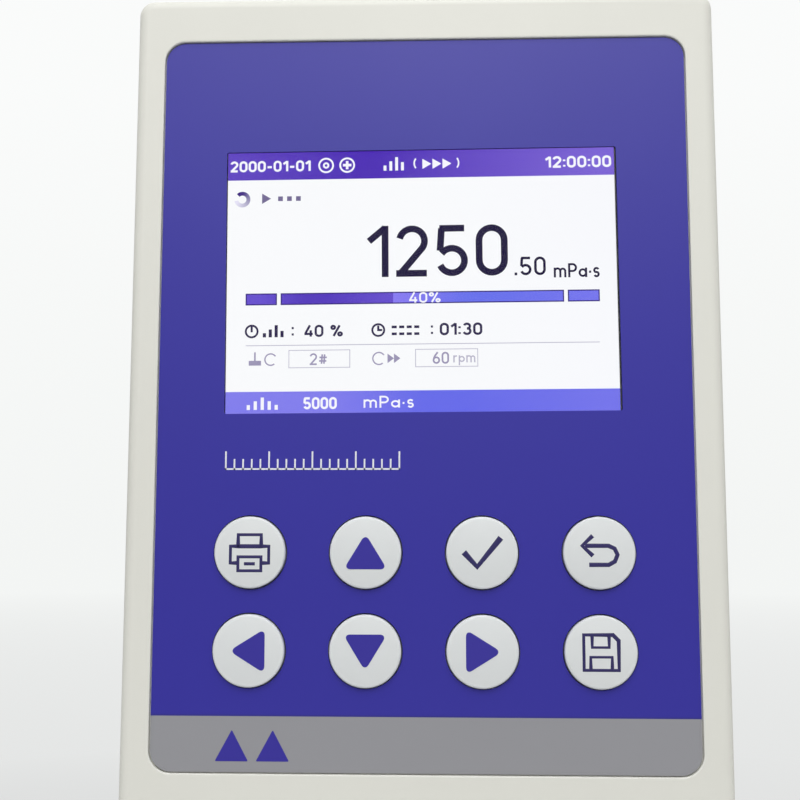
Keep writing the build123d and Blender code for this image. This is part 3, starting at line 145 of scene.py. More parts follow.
# Hands and cloths rub the paint or the texture off outer edges first: Mask is that wear, broken up along the
# edge. Edge is whole, and skinned() uses it to lay a painted highlight along edges.
rubbed_edge_and_highlight, taken, given = effect("rubbed_edge_and_highlight", {"Width": 0.001}, ["Mask", "Edge"])
eased = put(rubbed_edge_and_highlight, "Bevel", {"Radius": taken["Width"]}, samples=4).outputs[0]
plain = put(rubbed_edge_and_highlight, "NewGeometry").outputs["Normal"]
match = put(rubbed_edge_and_highlight, "VectorMath", {0: eased, 1: plain}, operation="DOT_PRODUCT").outputs["Value"]
edge = ramp(rubbed_edge_and_highlight, match, 0.985, 0.86)
patch = ramp(rubbed_edge_and_highlight, noise(rubbed_edge_and_highlight, spot_of(rubbed_edge_and_highlight), 140.0, 4.0), 0.4, 0.62)
feed(rubbed_edge_and_highlight, given, {"Mask": maths(rubbed_edge_and_highlight, "MULTIPLY", edge, patch), "Edge": edge})


def new_finish(name):
    """A new material, its node tree and its shader."""
    made = bpy.data.materials.new(name)
    made.use_nodes = True
    return made, made.node_tree, made.node_tree.nodes["Principled BSDF"]


def skinned(name, colour, rough, scale, depth, dust=0.0, rub_and_highlight=None, shade=0.93, soft=0.0, form=None):
    """A painted or moulded finish. Its grain has a scale and a depth, and shade is its mottling. The edge
    colour is laid as rubbed wear, broken up along edges, and as a painted highlight along whole edges where
    soft is given; soft is also the radius that edges are shaded with. form is a height of the piece's own, as
    a function of the tree."""
    made, tree, shader = new_finish(name)
    grain = use(tree, skin_grain, Scale=scale)
    tint = mottled(tree, grain["Cloud"], colour, shade)
    dull = ramp(tree, grain["Cloud"], 0.0, 1.0, rough + 0.04, rough - 0.03)
    # Where soft is given, the whole edge takes the edge colour as a painted highlight; without soft it is
    # rubbed wear.
    if rub_and_highlight:
        edge_share = use(tree, rubbed_edge_and_highlight, Width=soft or RUB_WIDTH)["Edge" if soft else "Mask"]
        tint = blend_colour(tree, maths(tree, "MULTIPLY", edge_share, 0.7), tint, rub_and_highlight)
        dull = maths(tree, "SUBTRACT", dull, maths(tree, "MULTIPLY", edge_share, 0.12))
    if dust:
        lying = use(tree, settled_dust, Amount=dust)["Mask"]
        tint = blend_colour(tree, lying, tint, DUST)
        dull = maths(tree, "ADD", dull, maths(tree, "MULTIPLY", lying, 0.4))
    normal = None
    if soft:
        normal = put(tree, "Bevel", {"Radius": soft}, samples=4).outputs[0]
    if form:
        normal = relief(tree, form(tree), 1.0, 1.0)
    normal = relief(tree, grain["Height"], 0.6, depth, normal)
    feed(tree, shader, {"Base Color": tint, "Roughness": dull, "Normal": normal})
    return made


def dress(finish, slot, *names):
    """Gives CAD nodes their finish; slot is not used."""
    for name in names:
        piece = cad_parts[name]
        piece.data.materials.clear()
        piece.data.materials.append(finish)


dress(skinned("stand_enamel", ENAMEL, rough=0.42, scale=ENAMEL_PEEL, depth=3.0e-5, dust=0.35,
              rub_and_highlight=ENAMEL_RUBBED),
      "stand_paint", "base_casting")


# ---- Levelling feet ----
# Three moulded rubber pads stand on the bench; each turns on the end of a zinc plated stud with a
# black fluted nut moulded round it, which screws up into the casting.

RUBBER = (0.030, 0.030, 0.031)
KNOB_BLACK, KNOB_RUBBED = (0.022, 0.022, 0.024), (0.075, 0.075, 0.078)
ZINC = (0.62, 0.64, 0.72)
FOOT_STUD_R, FOOT_PITCH = 0.0041, 0.00125

dress(skinned("foot_rubber", RUBBER, rough=0.72, scale=1600.0, depth=4.0e-5, dust=0.25, shade=0.8),
      "foot_rubber", "foot_pad_front_left", "foot_pad_front_right", "foot_pad_rear")


def off_axis(tree, vector):
    """How far a place lies from the Z axis."""
    flat = put(tree, "VectorMath", {0: vector, 1: (1.0, 1.0, 0.0)}, operation="MULTIPLY").outputs[0]
    return put(tree, "VectorMath", {0: flat}, operation="LENGTH").outputs["Value"]


# Marks that run round an axis, as a lathe tool leaves them, and the form of a screw thread. The
# Vector arrives already moved on to that axis, which is its own Z.
lathe_marks, taken, given = effect(
    "lathe_marks", {"Vector": (0, 0, 0), "Scale": 4000.0}, ["Height", "Cloud"])
course = off_axis(lathe_marks, taken["Vector"])
course = maths(lathe_marks, "ADD", parts(lathe_marks, taken["Vector"])["Z"], course)
course = maths(lathe_marks, "MULTIPLY", course, taken["Scale"])
cut = put(lathe_marks, "TexNoise", {"W": course, "Scale": 1.0, "Detail": 2.0}, noise_dimensions="1D")
stain = noise(lathe_marks, taken["Vector"], 90.0, 4.0)
feed(lathe_marks, given, {"Height": cut.outputs[0], "Cloud": ramp(lathe_marks, stain, 0.35, 0.65)})

screw_form, taken, given = effect(
    "screw_form", {"Vector": (0, 0, 0), "Pitch": 0.001, "Radius": 0.003}, ["Height", "Stud"])
part = parts(screw_form, taken["Vector"])
turn = maths(screw_form, "DIVIDE", maths(screw_form, "ARCTAN2", part["Y"], part["X"]), 2 * math.pi)
climb = maths(screw_form, "ADD", maths(screw_form, "DIVIDE", part["Z"], taken["Pitch"]), turn)
flank = maths(screw_form, "PINGPONG", climb, 0.5)
stud = maths(screw_form, "LESS_THAN", off_axis(screw_form, taken["Vector"]), taken["Radius"])
feed(screw_form, given, {"Height": maths(screw_form, "MULTIPLY", flank, stud), "Stud": stud})

AXIS_TURN = {"X": (0.0, math.pi / 2, 0.0), "Y": (-math.pi / 2, 0.0, 0.0), "Z": (0.0, 0.0, 0.0)}


def on_axis(tree, point, axis):
    """Places on the object, moved so that the piece's own axis is their Z."""
    moved = {"Vector": spot_of(tree), "Location": point, "Rotation": AXIS_TURN[axis]}
    return put(tree, "Mapping", moved, vector_type="TEXTURE").outputs[0]


def hand_screw(name, point, axis, stud_r, pitch):
    """Black fluted plastic moulded round a zinc plated stud, whose thread shows as relief."""
    made, tree, shader = new_finish(name)
    thread = use(tree, screw_form, Vector=on_axis(tree, point, axis), Pitch=pitch, Radius=stud_r)
    grain = use(tree, skin_grain, Scale=1500.0)
    lying = use(tree, settled_dust, Amount=0.22)["Mask"]
    edge_share = use(tree, rubbed_edge_and_highlight, Width=0.0008)["Mask"]
    black = blend_colour(tree, maths(tree, "MULTIPLY", edge_share, 0.5), KNOB_BLACK, KNOB_RUBBED)
    black = blend_colour(tree, lying, black, DUST)
    zinc = mottled(tree, grain["Cloud"], ZINC, 0.85)
    fine = relief(tree, grain["Height"], 0.5, 2.0e-5)
    feed(tree, shader, {"Base Color": blend_colour(tree, thread["Stud"], black, zinc),
                        "Metallic": thread["Stud"],
                        "Roughness": ramp(tree, thread["Stud"], 0.0, 1.0, 0.44, 0.32),
                        "Normal": relief(tree, thread["Height"], 1.0, pitch * 0.5, fine)})
    return made


for foot in ("foot_screw_front_left", "foot_screw_front_right", "foot_screw_rear"):
    low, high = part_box(foot)
    middle = ((low.x + high.x) / 2, (low.y + high.y) / 2, low.z)
    dress(hand_screw(foot, middle, "Z", FOOT_STUD_R, FOOT_PITCH), "knob_plastic", foot)


# ---- Column and its rack ----
# A centreless ground steel bar, chromium plated, with the rack milled into its rear side. A nut
# under the hub draws it down on its shoulder and a moulded cap closes its upper end.

COLUMN_AT = (0.0, 0.070, 0.0)
CHROMED = (0.66, 0.67, 0.68)
CAP_BLACK, CAP_RUBBED = (0.028, 0.028, 0.029), (0.07, 0.07, 0.07)


def machined(name, colour, point, axis, rough, scale, depth, shade=0.90):
    """Bright metal with lathe marks round its axis, faint stains and a little dust."""
    made, tree, shader = new_finish(name)
    marks = use(tree, lathe_marks, Vector=on_axis(tree, point, axis), Scale=scale)
    lying = use(tree, settled_dust, Amount=0.1)["Mask"]
    dull = ramp(tree, marks["Cloud"], 0.0, 1.0, rough + 0.06, rough)
    tint = mottled(tree, marks["Cloud"], colour, shade)
    feed(tree, shader, {"Base Color": blend_colour(tree, lying, tint, DUST), "Metallic": 1.0,
                        "Roughness": maths(tree, "ADD", dull, lying),
                        "Normal": relief(tree, marks["Height"], 0.5, depth)})
    return made


dress(machined("column_chrome", CHROMED, COLUMN_AT, "Z", rough=0.17, scale=5000.0, depth=4.0e-6, shade=0.97),
      "column_steel", "column")
dress(machined("zinc_nut", ZINC, COLUMN_AT, "Z", rough=0.34, scale=2500.0, depth=1.2e-5),
      "zinc_steel", "column_nut")
dress(skinned("cap_black", CAP_BLACK, rough=0.46, scale=1500.0, depth=2.5e-5, dust=0.35, rub_and_highlight=CAP_RUBBED,
              shade=0.85),
      "black_plastic", "column_cap")


# ---- Lift block, pinion and hand screws ----
# The block is cast aluminium, bored for the column and stoved in the housing's off-white. Bronze
# bushes carry the steel pinion, moulded knobs are pressed on both its ends, and two hand screws
# set the drag on the column and lock the head's rod.

BLOCK_WHITE, BLOCK_RUBBED = (0.70, 0.69, 0.64), (0.78, 0.78, 0.76)
BRONZE = (0.58, 0.42, 0.20)
GROUND = (0.58, 0.58, 0.58)
NYLON = (0.74, 0.72, 0.66)
PINION_AT = (0.0, 0.0850, 0.278)
TENSION_AT, LOCK_AT = (0.0, 0.070, 0.306), (0.0, 0.036, 0.310)
HAND_STUD_R, HAND_PITCH = 0.0031, 0.001

dress(skinned("block_enamel", BLOCK_WHITE, rough=0.44, scale=ENAMEL_PEEL, depth=2.5e-5, dust=0.3,
              rub_and_highlight=BLOCK_RUBBED),
      "block_paint", "lift_block")
dress(machined("bush_bronze", BRONZE, PINION_AT, "X", rough=0.30, scale=3500.0, depth=8.0e-6),
      "bush_bronze", "pinion_bushes")
dress(machined("pinion_ground", GROUND, PINION_AT, "X", rough=0.28, scale=4500.0, depth=6.0e-6),
      "ground_steel", "pinion_shaft")
dress(skinned("knob_black", KNOB_BLACK, rough=0.40, scale=1500.0, depth=2.0e-5, dust=0.22, rub_and_highlight=KNOB_RUBBED,
              shade=0.85),
      "knob_plastic", "lift_knob_left", "lift_knob_right")
dress(hand_screw("tension_finish", TENSION_AT, "X", HAND_STUD_R, HAND_PITCH), "knob_plastic", "tension_screw")
dress(hand_screw("lock_finish", LOCK_AT, "Z", HAND_STUD_R, HAND_PITCH), "knob_plastic", "lock_screw")
dress(skinned("pad_nylon", NYLON, rough=0.5, scale=900.0, depth=1.5e-5), "nylon", "brake_pad")


# ---- Head housing ----
# Two halves injection moulded in off-white ABS with a fine spark-eroded texture, drawn together
# by four zinc plated screws from the rear. Age has warmed the plastic slightly.

# The near white along the housing's edges, the recess lip too, is a painted highlight laid whole along them.
ABS_WHITE, ABS_HIGHLIGHT = (0.775, 0.772, 0.704), (1.0, 1.0, 0.95)

housing_abs = skinned("housing_abs", ABS_WHITE, rough=0.46, scale=2600.0, depth=1.6e-5, dust=0.10,
                      rub_and_highlight=ABS_HIGHLIGHT, shade=0.97, soft=0.0005)
dress(housing_abs, "housing_plastic", "front_housing", "rear_housing")
dress(machined("screw_zinc", ZINC, (0, 0, 0), "Y", rough=0.34, scale=2500.0, depth=1.0e-5),
      "zinc_steel", "housing_screws")


# ---- Front panel film ----
# A polycarbonate film, printed on its rear face and bonded into the front recess: a blue field
# over a grey band, with a plain white scale under the display and two plain marks on the band.
# Its satin face shows a fine texture only close up.

PANEL_MID = Vector((0.0, -0.1046, 0.282))
BAND_TOP = 0.22379
PRINT_EDGE = 1.5e-4
FILM_BLUE, FILM_EDGE = (0.028, 0.022, 0.332), (0.02, 0.018, 0.10)
FILM_GREY = (0.307, 0.307, 0.326)
INK_BLUE, INK_WHITE = (0.034, 0.024, 0.320), (0.80, 0.81, 0.86)

film, tree, shader = new_finish("printed_film")
rise = parts(tree, spot_of(tree))["Z"]
grain = use(tree, skin_grain, Scale=3200.0)
below = ramp(tree, rise, BAND_TOP + 3.0e-5, BAND_TOP - 3.0e-5)
seam = {0: rise, 1: BAND_TOP + PRINT_EDGE, 2: PRINT_EDGE}
seam = maths(tree, "MULTIPLY", put(tree, "Math", seam, operation="COMPARE").outputs[0], 0.35)
field = blend_colour(tree, seam, mottled(tree, grain["Cloud"], FILM_BLUE, 0.965), FILM_EDGE)
band = mottled(tree, grain["Cloud"], FILM_GREY, 0.97)
feed(tree, shader, {"Base Color": blend_colour(tree, below, field, band),
                    "Roughness": ramp(tree, grain["Cloud"], 0, 1, 0.46, 0.42),
                    "Normal": relief(tree, grain["Height"], 0.35, 6.0e-6)})
dress(film, "overlay_film", "panel_overlay")

# What is printed or lit is drawn flat, in millimetres: x right, y up and z towards the user. A
# layer is the two heights that a drawing lies between.
MM = Matrix.Scale(0.001, 4)
UPRIGHT = Matrix.Rotation(math.pi / 2, 4, "X")
FILM_INK = (0.0, 0.03)


def bar(bm, left, bottom, right, top, layer=FILM_INK):
    size = Matrix.Diagonal((right - left, top - bottom, layer[1] - layer[0], 1.0))
    centre = Matrix.Translation(((left + right) / 2, (bottom + top) / 2, sum(layer) / 2))
    bmesh.ops.create_cube(bm, size=1.0, matrix=centre @ size)


def tile(bm, tips, corner, layer=FILM_INK):
    """A flat tile between its corner points, which are rounded."""
    points = [bm.verts.new((x, y, layer[0])) for x, y in tips]
    bm.faces.new(points)
    bmesh.ops.bevel(bm, geom=points, offset=corner, offset_type="OFFSET", affect="VERTICES",
                    segments=6, profile=0.5, material=-1)
    face = [f for f in bm.faces if len(f.verts) > 8][-1]
    risen = bmesh.ops.extrude_face_region(bm, geom=[face])
    lifted = [v for v in risen["geom"] if isinstance(v, bmesh.types.BMVert)]
    bmesh.ops.translate(bm, verts=lifted, vec=(0, 0, layer[1] - layer[0]))


def wedge(bm, x, y, reach, width, turn, corner, layer=FILM_INK):
    """A rounded triangle that points up before it is turned; reach is its height."""
    place = Matrix.Translation((x, y, 0)) @ Matrix.Rotation(turn, 4, "Z")
    tips = [place @ Vector(tip) for tip in
            ((-width / 2, -reach / 2, 0), (width / 2, -reach / 2, 0), (0, reach / 2, 0))]
    tile(bm, [tip.xy for tip in tips], corner, layer)


def hoop(bm, x, y, outer, inner, layer=FILM_INK, start=0.0, sweep=2 * math.pi, steps=32):
    """A flat ring, or part of one, spun from its own section."""
    aim = Vector((math.cos(start), math.sin(start), 0))
    low, high = layer
    ring = [bm.verts.new(Vector((x, y, z)) + aim * r)
            for r, z in ((inner, low), (outer, low), (outer, high), (inner, high))]
    section = bm.faces.new(ring)
    spun = [section]
    whole = abs(sweep - 2 * math.pi) < 1e-6
    if whole:
        spun = ring + list(section.edges)
        bm.faces.remove(section)
    bmesh.ops.spin(bm, geom=spun, cent=(x, y, 0), axis=(0, 0, 1), angle=sweep, steps=steps, use_merge=whole)


def make_piece(name, bm, place, finish, body, smooth=False):
    """Puts a finished mesh in place, its object at the origin, and lets it ride on a body."""
    bm.transform(place)
    bmesh.ops.remove_doubles(bm, verts=bm.verts, dist=1e-8)
    bmesh.ops.recalc_face_normals(bm, faces=bm.faces)
    for face in bm.faces:
        face.smooth = smooth
    mesh = bpy.data.meshes.new(name)
    bm.to_mesh(mesh)
    bm.free()
    mesh.materials.append(finish)
    piece = bpy.data.objects.new(name, mesh)
    bpy.context.scene.collection.objects.link(piece)
    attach(piece, body)


ink_blue = skinned("ink_blue", INK_BLUE, rough=0.40, scale=2400.0, depth=4.0e-6, shade=0.97)
ink_white = skinned("ink_white", INK_WHITE, rough=0.40, scale=2400.0, depth=4.0e-6, shade=0.97)
on_film = Matrix.Translation(PANEL_MID) @ UPRIGHT @ MM

# A plain printed scale below the display: a long rule with ticks, every fifth one longer.
RULE_LEFT, RULE_BASE, RULE_STEP, RULE_STEPS, RULE_LINE = -36.6, -13.95, 1.6, 20, 0.30
TICK, LONG_TICK = 2.0, 3.4
rule = bmesh.new()
bar(rule, RULE_LEFT, RULE_BASE, RULE_LEFT + RULE_STEPS * RULE_STEP + RULE_LINE, RULE_BASE + RULE_LINE)
for i in range(RULE_STEPS + 1):
    left = RULE_LEFT + i * RULE_STEP
    bar(rule, left, RULE_BASE, left + RULE_LINE, RULE_BASE + (TICK if i % 5 else LONG_TICK))
make_piece("panel_scale", rule, on_film, ink_white, "head")

BAND_MARK_Y = -63.35
band_marks = bmesh.new()
for x in (-34.5, -27.12):
    wedge(band_marks, x, BAND_MARK_Y, 5.5, 6.0, 0.0, 0.25)
make_piece("panel_band_marks", band_marks, on_film, ink_blue, "head")


# ---- Display ----
# A colour graphic module behind the film's clear window: a lit white page between a violet title
# bar and a blue range bar, with the reading in large figures. The page is drawn as thin lit
# layers on the module's glass, turned by a fraction of a degree as the module sits.

SCREEN_MID = Vector((-0.0004, -0.10397, 0.3036))
SCREEN_TURN = math.radians(0.38)
SCREEN_HALF_H = 24.95
PAGE_LEFT, PAGE_RIGHT = -36.58, 36.38
TITLE_BASE, RANGE_TOP = 19.62, -20.82
PAGE_LAYER, FILL_LAYER, SIGN_LAYER, OVER_LAYER = (-0.01, 0.01), (0.02, 0.035), (0.04, 0.06), (0.07, 0.09)
MODULE_BLACK = (0.02, 0.02, 0.022)
PAGE_WHITE, PAGE_COOL = (0.965, 0.975, 0.990), (0.94, 0.95, 0.99)
TITLE_DEEP, TITLE_PALE = (0.068, 0.018, 0.46), (0.198, 0.122, 0.67)
RANGE_DEEP, RANGE_PALE = (0.130, 0.143, 0.82), (0.222, 0.206, 0.85)
DONE_DEEP, DONE_PALE = (0.084, 0.035, 0.50), (0.132, 0.075, 0.62)
LEFT_DEEP, LEFT_PALE = (0.135, 0.160, 0.84), (0.250, 0.200, 0.89)
FIGURE_INK, LINE_INK, PRINT_WHITE = (0.010, 0.005, 0.042), (0.028, 0.010, 0.19), (0.93, 0.93, 1.0)
DARK_PRINT, STATE_PRINT = (0.028, 0.020, 0.075), (0.17, 0.14, 0.29)
PALE_PRINT, PALE_LINE = (0.33, 0.30, 0.46), (0.47, 0.455, 0.58)
RING_PALE, RING_DEEP = (0.80, 0.78, 0.93), (0.045, 0.015, 0.22)
COLUMNS_PER_MM, COLUMN_DIM = 9.6, 0.05

dress(skinned("module_black", MODULE_BLACK, rough=0.35, scale=1800.0, depth=5.0e-6),
      "display_module", "lcd_module")
on_screen = Matrix.Translation(SCREEN_MID) @ UPRIGHT @ Matrix.Rotation(SCREEN_TURN, 4, "Z") @ MM


def lit(name, light):
    """A lit layer, in a colour or a pattern; the columns of pixels show faintly."""
    made, tree, shader = new_finish(name)
    moved = {"Vector": spot_of(tree), "Location": SCREEN_MID, "Rotation": (0.0, -SCREEN_TURN, 0.0),
             "Scale": (0.001, 0.001, 0.001)}
    spot = parts(tree, put(tree, "Mapping", moved, vector_type="TEXTURE").outputs[0])
    if callable(light):
        light = light(tree, spot["X"], spot["Z"])
    column = maths(tree, "PINGPONG", maths(tree, "MULTIPLY", spot["X"], COLUMNS_PER_MM), 0.5)
    dimmer = maths(tree, "MULTIPLY", column, COLUMN_DIM)
    feed(tree, shader, {"Emission Color": blend_colour(tree, dimmer, light, (0.0, 0.0, 0.02)),
                        "Emission Strength": 1.0, "Base Color": (0.01, 0.01, 0.01, 1.0), "Roughness": 0.3,
                        "Specular IOR Level": 0.0})
    return made


def shaded(deep, pale, *ends):
    """A pattern that turns from deep to pale towards its ends. Each end gives where the change
    starts and stops, in millimetres across the picture, and how much of it there is."""
    def pattern(tree, across, _rise):
        shares = [ramp(tree, across, start, stop, 0.0, share) for start, stop, share in ends]
        return blend_colour(tree, maths(tree, "ADD", *shares), deep, pale)
    return pattern


title_shade = shaded(TITLE_DEEP, TITLE_PALE, (-8.0, 34.0, 1.0), (-12.0, -36.0, 0.35))
range_shade = shaded(RANGE_DEEP, RANGE_PALE, (0.0, -18.0, 1.0), (8.0, 34.0, 0.45))
done_shade = shaded(DONE_DEEP, DONE_PALE, (-22.0, -30.0, 1.0), (-18.0, -5.3, 1.0))
left_shade = shaded(LEFT_DEEP, LEFT_PALE, (8.0, -5.3, 1.0), (14.0, 32.0, 0.36))


def page_shade(tree, across, rise):
    in_title = maths(tree, "GREATER_THAN", rise, TITLE_BASE)
    in_range = maths(tree, "LESS_THAN", rise, RANGE_TOP)
    page = blend_colour(tree, ramp(tree, across, 0.0, 50.0), PAGE_WHITE, PAGE_COOL)
    page = blend_colour(tree, in_title, page, title_shade(tree, across, rise))
    return blend_colour(tree, in_range, page, range_shade(tree, across, rise))


def show(name, bm, finish):
    """Puts a layer of the picture on the module's glass."""
    make_piece(name, bm, on_screen, finish, "head")


page = bmesh.new()
bar(page, PAGE_LEFT, -SCREEN_HALF_H, PAGE_RIGHT, SCREEN_HALF_H, PAGE_LAYER)
show("screen_page", page, lit("lit_page", page_shade))


def drawn_line(bm, points, width, closed=False, layer=SIGN_LAYER):
    """A flat line of even width through the points, with square ends."""
    curve = bpy.data.curves.new("line", "CURVE")
    curve.dimensions = "3D"
    curve.bevel_depth = width / 2
    curve.bevel_resolution = 1
    curve.use_fill_caps = not closed
    path = curve.splines.new("POLY")
    path.points.add(len(points) - 1)
    for point, (x, y) in zip(path.points, points):
        point.co = (x, y, 0.0, 1.0)
    path.use_cyclic_u = closed
    holder = bpy.data.objects.new("line", curve)
    bpy.context.scene.collection.objects.link(holder)
    bpy.context.view_layer.update()
    tube = bpy.data.meshes.new_from_object(holder)
    flatten = Matrix.Diagonal((1, 1, (layer[1] - layer[0]) / width, 1))
    tube.transform(Matrix.Translation((0, 0, sum(layer) / 2)) @ flatten)
    bm.from_mesh(tube)
    bpy.data.objects.remove(holder)
    bpy.data.curves.remove(curve)
    bpy.data.meshes.remove(tube)


def bow(x, y, reach, start, stop, steps=14):
    """Points round an arc; the angles are in degrees."""
    turns = [math.radians(start + (stop - start) * i / steps) for i in range(steps + 1)]
    return [(x + reach * math.cos(t), y + reach * math.sin(t)) for t in turns]


# Numerals and units are drawn a unit high with round bowls and straight legs, by lines that lie
# inside their width by half a line.
SIGN_WIDTH = {"1": 0.40, ":": 0.14, ".": 0.14, "·": 0.14, "-": 0.40, " ": 0.26, "%": 0.84, "#": 0.66,
              "(": 0.2, ")": 0.2, "m": 0.90, "P": 0.62, "a": 0.60, "s": 0.48, "r": 0.38, "p": 0.60}
DIGIT_WIDTH, SIGN_GAP, SIGN_EDGE = 0.61, 0.15, 0.065


def strokes(sign):
    """The centre lines of a numeral, letter or sign, with True where one closes."""
    left, right, mid, top = SIGN_EDGE, DIGIT_WIDTH - SIGN_EDGE, DIGIT_WIDTH / 2, 1 - SIGN_EDGE
    r = mid - left
    lines = {
        "0": [(bow(mid, top - r, r, 0, 180) + bow(mid, left + r, r, 180, 360), True)],
        "1": [([(0.03, 0.70), (0.34, 0.96)], False), ([(0.34, 1.0), (0.34, 0.0)], False)],
        "2": [(bow(mid, top - r, r, 168, -34) + [(left + 0.02, left)], False),
              ([(0.0, left), (right + 0.04, left)], False)],
        "3": [(bow(mid, top - r * 0.88, r * 0.88, 160, -90), False),
              (bow(mid, left + r, r, 90, -160), False)],
        "4": [([(0.40, 1.0), (0.05, 0.24)], False), ([(0.0, 0.24), (0.61, 0.24)], False),
              ([(0.46, 0.56), (0.46, 0.0)], False)],
        "5": [([(0.07, top), (right, top)], False), ([(0.11, top), (0.08, 0.50)], False),
              (bow(mid, left + r, r, 145, -158, 20), False)],
        "6": [(bow(mid, left + r, r, 0, 360, 24)[:-1], True),
              ([(0.08, 0.42), (0.17, 0.64), (0.42, 0.99)], False)],
        "m": [([(0.07, 0.0), (0.07, 0.70)], False), (bow(0.27, 0.44, 0.20, 150, 0) + [(0.47, 0.0)], False),
              (bow(0.65, 0.44, 0.18, 170, 0) + [(0.83, 0.0)], False)],
        "P": [([(0.07, 0.0), (0.07, 1.0)], False),
              ([(0.07, top), (0.32, top)] + bow(0.32, 0.69, 0.245, 85, -85) + [(0.07, 0.445)], False)],
        "a": [(bow(0.29, 0.32, 0.235, 0, 360, 20)[:-1], True), ([(0.53, 0.0), (0.53, 0.68)], False)],
        "s": [(bow(0.24, 0.485, 0.155, 25, 262, 12) + bow(0.24, 0.205, 0.155, 82, -155, 12), False)],
        "r": [([(0.07, 0.0), (0.07, 0.70)], False), (bow(0.29, 0.42, 0.22, 170, 70, 8), False)],
        "p": [([(0.07, -0.28), (0.07, 0.70)], False), (bow(0.31, 0.34, 0.235, 0, 360, 20)[:-1], True)],
        "(": [(bow(0.72, 0.45, 0.62, 146, 214, 8), False)],
        ")": [(bow(-0.52, 0.45, 0.62, 34, -34, 8), False)],
        "-": [([(0.02, 0.42), (0.38, 0.42)], False)],
        ":": [([(0.07, 0.06), (0.07, 0.22)], False), ([(0.07, 0.56), (0.07, 0.72)], False)],
        ".": [([(0.07, 0.0), (0.07, 0.15)], False)],
        "·": [([(0.07, 0.30), (0.07, 0.46)], False)],
        "%": [(bow(0.17, 0.79, 0.13, 0, 360, 16)[:-1], True), (bow(0.67, 0.21, 0.13, 0, 360, 16)[:-1], True),
              ([(0.64, 0.97), (0.20, 0.03)], False)],
        "#": [([(0.22, 0.1), (0.28, 0.9)], False), ([(0.42, 0.1), (0.48, 0.9)], False),
              ([(0.05, 0.64), (0.66, 0.64)], False), ([(0.02, 0.34), (0.62, 0.34)], False)],
    }
    return lines.get(sign, [])


def signs_in(bm, words, left, bottom, right, top, weight, layer=SIGN_LAYER):
    """Sets drawn signs to fill a box on the picture; weight is a line's width in heights."""
    widths = [SIGN_WIDTH.get(sign, DIGIT_WIDTH) for sign in words]
    across = (right - left) / (sum(widths) + SIGN_GAP * (len(words) - 1))
    tall = top - bottom
    x = left
    for sign, width in zip(words, widths):
        for points, closed in strokes(sign):
            placed = [(x + px * across, bottom + py * tall) for px, py in points]
            drawn_line(bm, placed, weight * tall, closed, layer)
        x += (width + SIGN_GAP) * across


def level_graph(bm, left, base, pitch, width, heights):
    """Small bars side by side, each with its own height."""
    for i, tall in enumerate(heights):
        bar(bm, left + i * pitch, base, left + i * pitch + width, base + tall, SIGN_LAYER)


def blocks(bm, lefts, bottoms, width, height):
    """The same small block at every left edge and bottom edge given."""
    for x in lefts:
        for y in bottoms:
            bar(bm, x, y, x + width, y + height, SIGN_LAYER)


def frame_bar(bm, left, bottom, right, top, line):
    """Four bars that meet as a rectangular line."""
    for edges in ((left, bottom, right, bottom + line), (left, top - line, right, top),
                  (left, bottom + line, left + line, top - line),
                  (right - line, bottom + line, right, top - line)):
        bar(bm, *edges, SIGN_LAYER)


reading = bmesh.new()
signs_in(reading, "1250", -10.1, 0.6, 16.2, 10.4, 0.13)
signs_in(reading, ".50", 17.4, 0.6, 23.2, 4.1, 0.14)
signs_in(reading, "mPa·s", 24.7, 0.1, 33.2, 2.75, 0.15)
show("screen_reading", reading, lit("lit_reading", FIGURE_INK))

# White print: the date, two round signs, a level graph, three arrow heads in brackets and the time
# in the title bar; a level graph and the range in the range bar; the share done on the bar.
TITLE_MID, AIM_X, PLUS_X = 22.3, -17.9, -13.9
POINTS_RIGHT = -math.pi / 2
title_print = bmesh.new()
signs_in(title_print, "2000-01-01", -36.1, 21.3, -20.9, 23.3, 0.215)
signs_in(title_print, "12:00:00", 23.5, 21.2, 35.8, 23.3, 0.215)
signs_in(title_print, "40%", -2.3, -4.35, 3.5, -2.4, 0.17, OVER_LAYER)
signs_in(title_print, "5000", -22.0, -24.1, -15.9, -22.0, 0.205)
signs_in(title_print, "mPa·s", -10.9, -24.0, -1.5, -21.8, 0.15)
signs_in(title_print, "(", -1.5, 21.2, -0.9, 23.9, 0.11)
signs_in(title_print, ")", 6.9, 21.2, 7.5, 23.9, 0.11)
for x in (1.2, 3.1, 5.0):
    wedge(title_print, x, TITLE_MID, 1.7, 2.0, POINTS_RIGHT, 0.1, SIGN_LAYER)
for x in (AIM_X, PLUS_X):
    hoop(title_print, x, TITLE_MID, outer=1.5, inner=1.15, layer=SIGN_LAYER)
hoop(title_print, AIM_X, TITLE_MID, outer=0.62, inner=0.25, layer=SIGN_LAYER, steps=20)
for half_w, half_h in ((0.25, 0.8), (0.8, 0.25)):
    bar(title_print, PLUS_X - half_w, TITLE_MID - half_h, PLUS_X + half_w, TITLE_MID + half_h, SIGN_LAYER)
level_graph(title_print, -7.0, 21.1, pitch=1.1, width=0.55, heights=(1.0, 1.8, 2.6, 1.6))
level_graph(title_print, -32.6, -24.2, pitch=1.3, width=0.6, heights=(0.9, 1.6, 2.3, 1.6, 0.9))
show("screen_title_print", title_print, lit("lit_white", PRINT_WHITE))

